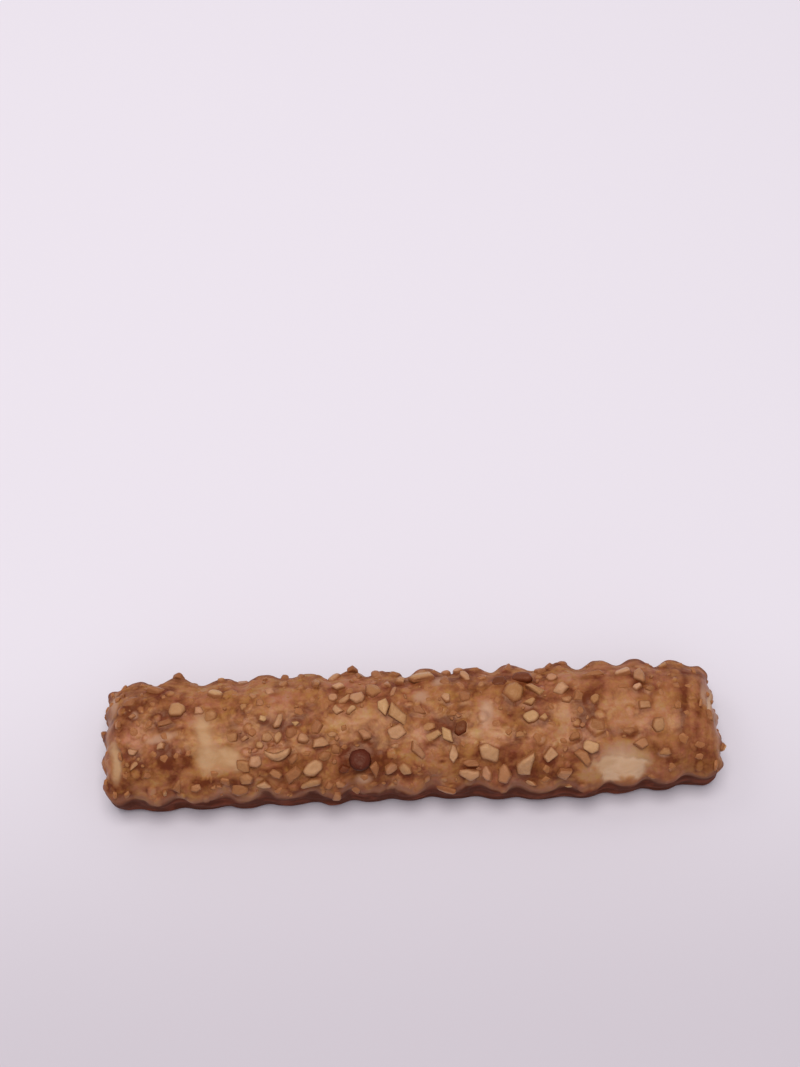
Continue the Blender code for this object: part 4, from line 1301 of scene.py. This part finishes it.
def crust_material(colors):
    """Glaze, with bare dough in patches, baked sides darkened further with painted shade, and a dull rim
    between them.
    """
    nodes = Nodes("glazed_crust")
    bare = nodes.attribute("bare")
    glazed = nodes.attribute("glazed")
    place = nodes.place()
    blotch = nodes.noise(0.0065, detail=4.0, roughness=0.6, twist=0.8)
    streak = nodes.noise(0.0028, detail=3.0, roughness=0.55, stretch=(0.6, 1.0, 1.0), seed=0.03, twist=0.6)
    fine = nodes.noise(0.0012, seed=0.07)
    grain = nodes.noise(0.0005, roughness=0.6, seed=0.05)
    glaze = glaze_color(nodes, colors, place, blotch, streak, fine, grain)

    right_dough = tinted(colors.bare_dough, RIGHT_DOUGH_TINT)
    dough = nodes.mix(place["X"].band(*DOUGH_TURN), colors.bare_dough, right_dough)
    dough = nodes.tint(dough, streak.band(0.42, 0.7) * 0.6, WHITE, DOUGH_MOTTLE)
    glaze = nodes.mix(bare, glaze, dough)

    # The sides' dark colour: their own darker bake, and painted shade on them
    wall = colors.baked_and_shaded_side
    # cavity darkens the hollows of the sides: painted shade
    baked = blotch.swing(1.8) + streak.swing(1.4) - nodes.attribute("cavity").swing(0.5) + 0.3
    baked = baked - nodes.attribute("level").band(0.35, 0.05) * 0.2
    shades = (wall, tinted(wall, WARM_TINT), WALL_CRUMB)
    side = nodes.ramp(baked.clamp(), zip(WALL_STOPS, shades))
    color = nodes.mix(glazed, side, glaze)
    lip = nodes.attribute("lip") * (1.0 - bare)
    rim = nodes.mix(place["X"].band(*RIM_TURN), RIM, RIGHT_RIM)
    color = nodes.mix(lip * (1.0 - blotch.band(0.5, 0.7) * 0.4) * 0.8, color, rim)

    rough = GLAZE_ROUGHNESS + streak.swing(0.3) + bare * 0.35 + (1.0 - glazed) * 0.6 + lip * 0.3
    rough = rough + place["Y"].band(*DULL_BACK) * 0.35
    normal = nodes.bump(grain * 0.3 + fine, distance=0.0002, strength=0.3)
    nodes.set(Base_Color=color, Roughness=rough.clamp(), Normal=normal)
    nodes.set(Specular_IOR_Level=0.3, Specular_Tint=GLAZE_SHEEN)
    nodes.set(Subsurface_Weight=0.12, Subsurface_Radius=GLAZE_GLOW, Subsurface_Scale=0.0014)
    return nodes.material


def peanut_material(name, flesh, glaze, cover):
    """Peanut flesh that sinks into the glaze at its foot; cover is the share of glaze over its top."""
    nodes = Nodes(name)
    tint = nodes.attribute("tint")
    cloud = nodes.noise(0.0014, detail=3.0, roughness=0.6)
    grain = nodes.noise(0.0005, roughness=0.6, seed=0.02)
    clouded = (tint * 0.6 + (cloud - 0.38) * 1.5).clamp()
    body = nodes.mix(clouded, flesh, tinted(flesh, DARK_FLESH))
    body = nodes.tint(body, tint.ridge().band(0.1, 0.9), *FLESH_TINTS)
    clean = (nodes.attribute("height") + cloud.swing(0.6)).band(0.4, 0.84)
    body = nodes.mix((clean * (1.0 - cover)).clamp(), glaze, body)
    rough = FLESH_ROUGHNESS + cloud.swing(0.3)
    normal = nodes.bump(grain * 0.6 + cloud * 3.0, distance=0.00014, strength=0.7)
    nodes.set(Base_Color=body, Roughness=rough.clamp(), Normal=normal)
    nodes.set(Specular_IOR_Level=0.25, Specular_Tint=FLESH_SHEEN)
    nodes.set(Subsurface_Weight=0.15, Subsurface_Radius=FLESH_GLOW, Subsurface_Scale=0.001)
    return nodes.material


def floor_material(near, far):
    """Pale matt board that is a little lighter towards the back, by a smooth step: painted light that
    falls off towards the front.
    """
    nodes = Nodes("pale_floor")
    share = nodes.place()["Y"].band(*FLOOR_TURN)
    share = share * share * (3.0 - share * 2.0)
    nodes.set(Base_Color=nodes.mix(share, near, far), Roughness=FLOOR_ROUGHNESS)
    return nodes.material


def length_setting(name, description, default):
    """A length in metres that the user may change."""
    return FloatProperty(name=name, description=description, default=default, unit="LENGTH")


def angle_setting(name, description, default):
    """An angle that the user may change, in radians here and in degrees in the panel."""
    return FloatProperty(name=name, description=description, default=default, subtype="ANGLE")


def color_setting(name, description, default):
    """A colour that the user may change, as linear red, green and blue."""
    return FloatVectorProperty(name=name, description=description, default=default, subtype="COLOR")


def power_setting(name, description, default):
    """A lamp's power that the user may change, in watts."""
    return FloatProperty(name=name, description=description, default=default, unit="POWER")


class StickSizes(bpy.types.PropertyGroup):
    """Sizes of the crust and number of its crumbs."""

    length: length_setting("Length", "Length of the crust", 0.1404)
    width: length_setting("Width", "Width between the lips' mean lines", 0.0278)
    lip_height: length_setting("Lip height", "Height of the widest line", 0.0104)
    top_rise: length_setting("Dome rise", "Height of the dome over the lip", 0.0078)
    wave_pitch: length_setting("Wave pitch", "Step of the cut's wave", 0.00963)
    wave_depth: length_setting("Wave depth", "Half of crest to hollow", 0.00086)
    undercut: length_setting("Undercut", "How far the side stands back", 0.0002)
    relief: FloatProperty(
        name="Relief",
        description="Strength of the glaze's relief",
        default=1.0,
        min=0.0,
        max=2.0,
        subtype="FACTOR",
    )
    crumbs: IntProperty(name="Crumbs", description="Number of fine crumbs in the glaze", default=90, min=0)


class StickColors(bpy.types.PropertyGroup):
    """Colours of the glaze, the dough, the peanuts and the floor."""

    glaze_light: color_setting("Light glaze", "Thin glaze", (0.368, 0.1455, 0.0543))
    glaze_deep: color_setting("Deep glaze", "Thick, browned glaze", (0.131, 0.0255, 0.007))
    bare_dough: color_setting("Bare dough", "Dough without glaze", (0.51, 0.30, 0.155))
    # Pale smear: thin, cloudy glaze, and the colour of the painted highlights
    pale_smear_and_highlight: color_setting("Pale smear", "Thin, cloudy glaze", (0.455, 0.258, 0.165))
    # Baked side: the sides' darker bake, with painted shade in it
    baked_and_shaded_side: color_setting("Baked side", "The sides under the lip", (0.093, 0.0212, 0.0105))
    peanut: color_setting("Peanut", "Chopped peanut", (0.555, 0.315, 0.167))
    toasted: color_setting("Toasted peanut", "Browner peanut", (0.452, 0.212, 0.095))
    dark_nut: color_setting("Dark nut", "The round, dark one", (0.118, 0.0205, 0.0108))
    # The floor is darker in front than behind: painted light
    floor_near: color_setting("Floor, near", "Floor in front", (0.632, 0.587, 0.632))
    floor_far: color_setting("Floor, far", "Floor behind", (0.805, 0.766, 0.82))


class StudioSettings(bpy.types.PropertyGroup):
    """Camera and lights."""

    lens: FloatProperty(name="Lens", description="Focal length", default=53.1, unit="CAMERA")
    pitch: angle_setting("Pitch", "How steeply the camera looks down", EYE_PITCH)
    yaw: angle_setting("Yaw", "How far the camera is turned", EYE_YAW)
    camera: FloatVectorProperty(
        name="Camera", description="Place of the camera", default=EYE, precision=5, subtype="TRANSLATION"
    )
    soft_light: power_setting("Soft light", "Power of the lamp overhead", 7.76)
    window: power_setting("Window", "Power of the smaller lamp on the left", 0.25)
    fill: FloatProperty(
        name="Fill", description="Strength of the light from all round", default=0.5, subtype="FACTOR"
    )


def stick_parts():
    """Form and chips, worked out once for each run of an operator."""
    form = Form(bpy.context.scene.stick_sizes)
    return form, chip_list(form)


class PASTRY_OT_crust(bpy.types.Operator):
    """Makes the crust, with its glaze, bare patches and baked sides"""

    bl_idname = "pastry.crust"
    bl_label = "Crust"

    def execute(self, context):
        form, chips = stick_parts()
        material = crust_material(context.scene.stick_colors)
        crust_object(form, chips, context.scene.stick_sizes.relief, material)
        return {"FINISHED"}


class PASTRY_OT_peanuts(bpy.types.Operator):
    """Makes the chopped peanuts: one piece for each look, from bright to wholly glazed over"""

    bl_idname = "pastry.peanuts"
    bl_label = "Chopped peanuts"

    def execute(self, context):
        _, chips = stick_parts()
        colors = context.scene.stick_colors
        light, deep, toasted = colors.glaze_light, colors.glaze_deep, colors.toasted
        glaze = blend(light, deep, FOOT_GLAZE)
        looks = (
            ("bc", tinted(colors.peanut, BRIGHT_FLESH), glaze),
            ("p", blend(colors.peanut, toasted, PALE_TOAST), glaze),
            ("t", toasted, glaze),
            ("g", blend(toasted, glaze, GLAZED_BROWN), glaze),
            ("r", blend(toasted, deep, RUDDY_BROWN), deep),
            ("v", light, light),
            ("d", colors.dark_nut, tinted(colors.dark_nut, BURNT)),
        )
        for seed, (letters, flesh, foot) in enumerate(looks, SCRAP_SEED):
            kind = KINDS[letters[0]]
            chosen = [chip for chip in chips if chip.kind in letters]
            scrap_object(chosen, seed, peanut_material(kind.piece, flesh, foot, kind.cover))
        return {"FINISHED"}


class PASTRY_OT_crumbs(bpy.types.Operator):
    """Makes the fine crumbs of peanut between the larger scraps"""

    bl_idname = "pastry.crumbs"
    bl_label = "Crumbs"

    def execute(self, context):
        form, chips = stick_parts()
        crumbs = crumb_scraps(form, chips, context.scene.stick_sizes.crumbs)
        if not crumbs:
            return {"FINISHED"}
        colors = context.scene.stick_colors
        glaze = blend(colors.glaze_light, colors.glaze_deep, CRUMB_GLAZE)
        material = peanut_material("peanut_crumb", colors.toasted, glaze, KINDS["m"].cover)
        scrap_object(crumbs, CRUMB_SHAPE_SEED, material)
        return {"FINISHED"}


class PASTRY_OT_studio(bpy.types.Operator):
    """Makes the floor, the soft light and the camera"""

    bl_idname = "pastry.studio"
    bl_label = "Floor, light and camera"

    def execute(self, context):
        studio = context.scene.studio
        colors = context.scene.stick_colors
        reach = FLOOR_REACH
        corners = [(-reach, -reach, 0.0), (reach, -reach, 0.0), (reach, reach, 0.0), (-reach, reach, 0.0)]
        mesh = bpy.data.meshes.new("floor")
        mesh.from_pydata(corners, [], [(0, 1, 2, 3)])
        mesh.materials.append(floor_material(colors.floor_near, colors.floor_far))
        floor = bpy.data.objects.new("floor", mesh)
        context.scene.collection.objects.link(floor)

        soft_lamp("overhead", OVERHEAD_SIZE, studio.soft_light, OVERHEAD_PLACE)
        soft_lamp("window", WINDOW_SIZE, studio.window, WINDOW_PLACE)

        world = bpy.data.worlds.new("studio")
        world.use_nodes = True
        background = world.node_tree.nodes["Background"]
        background.inputs["Color"].default_value = (*AIR_COLOR, 1.0)
        background.inputs["Strength"].default_value = studio.fill
        context.scene.world = world

        camera = bpy.data.cameras.new("camera")
        camera.sensor_width = 36.0
        camera.lens = studio.lens
        camera.clip_start = 0.01
        seen = bpy.data.objects.new("camera", camera)
        right = Vector((math.cos(studio.yaw), -math.sin(studio.yaw), 0.0))
        ahead = Vector((math.sin(studio.yaw), math.cos(studio.yaw), 0.0))
        up = ahead * math.sin(studio.pitch) + Vector((0.0, 0.0, math.cos(studio.pitch)))
        seen.matrix_world = Matrix.Translation(studio.camera) @ basis(right, up)
        context.scene.collection.objects.link(seen)
        context.scene.camera = seen
        context.scene.view_settings.view_transform = "Standard"
        return {"FINISHED"}


def soft_lamp(name, size, power, place):
    """Area lamp at a place, with its -Z turned to the stick and its X level."""
    lamp = bpy.data.lights.new(name, "AREA")
    lamp.shape = "RECTANGLE"
    lamp.size, lamp.size_y = size
    lamp.energy = power
    lamp.color = LAMP_COLOR
    made = bpy.data.objects.new(name, lamp)
    ahead = -Vector(place).normalized()
    right = ahead.cross(Vector((0.0, 1.0, 0.0))).normalized()
    made.matrix_world = Matrix.Translation(place) @ basis(right, right.cross(ahead))
    bpy.context.scene.collection.objects.link(made)


def basis(right, up):
    """Rotation whose X is right, Y is up, and Z points back at the viewer."""
    return Matrix((right, up, right.cross(up))).transposed().to_4x4()


class PASTRY_PT_panel(bpy.types.Panel):
    """Lists the pieces and their settings"""

    bl_label = "Pastry stick"
    bl_idname = "PASTRY_PT_panel"
    bl_space_type = "VIEW_3D"
    bl_region_type = "UI"
    bl_category = "Pastry"

    def draw(self, context):
        scene = context.scene
        for group in (scene.stick_sizes, scene.stick_colors, scene.studio):
            column = self.layout.column(align=True)
            for key in group.__annotations__:
                column.prop(group, key)
        for operator in OPERATORS:
            self.layout.operator(operator.bl_idname)


OPERATORS = (PASTRY_OT_crust, PASTRY_OT_peanuts, PASTRY_OT_crumbs, PASTRY_OT_studio)
GROUPS = (("stick_sizes", StickSizes), ("stick_colors", StickColors), ("studio", StudioSettings))


def register():
    for _, group in GROUPS:
        bpy.utils.register_class(group)
    for kind in (*OPERATORS, PASTRY_PT_panel):
        bpy.utils.register_class(kind)
    for key, group in GROUPS:
        setattr(bpy.types.Scene, key, PointerProperty(type=group))


def unregister():
    for key, _ in GROUPS:
        delattr(bpy.types.Scene, key)
    for kind in (PASTRY_PT_panel, *reversed(OPERATORS)):
        bpy.utils.unregister_class(kind)
    for _, group in reversed(GROUPS):
        bpy.utils.unregister_class(group)


def main():
    register()
    bpy.ops.pastry.crust()
    bpy.ops.pastry.peanuts()
    bpy.ops.pastry.crumbs()
    bpy.ops.pastry.studio()


if __name__ == "__main__":
    main()
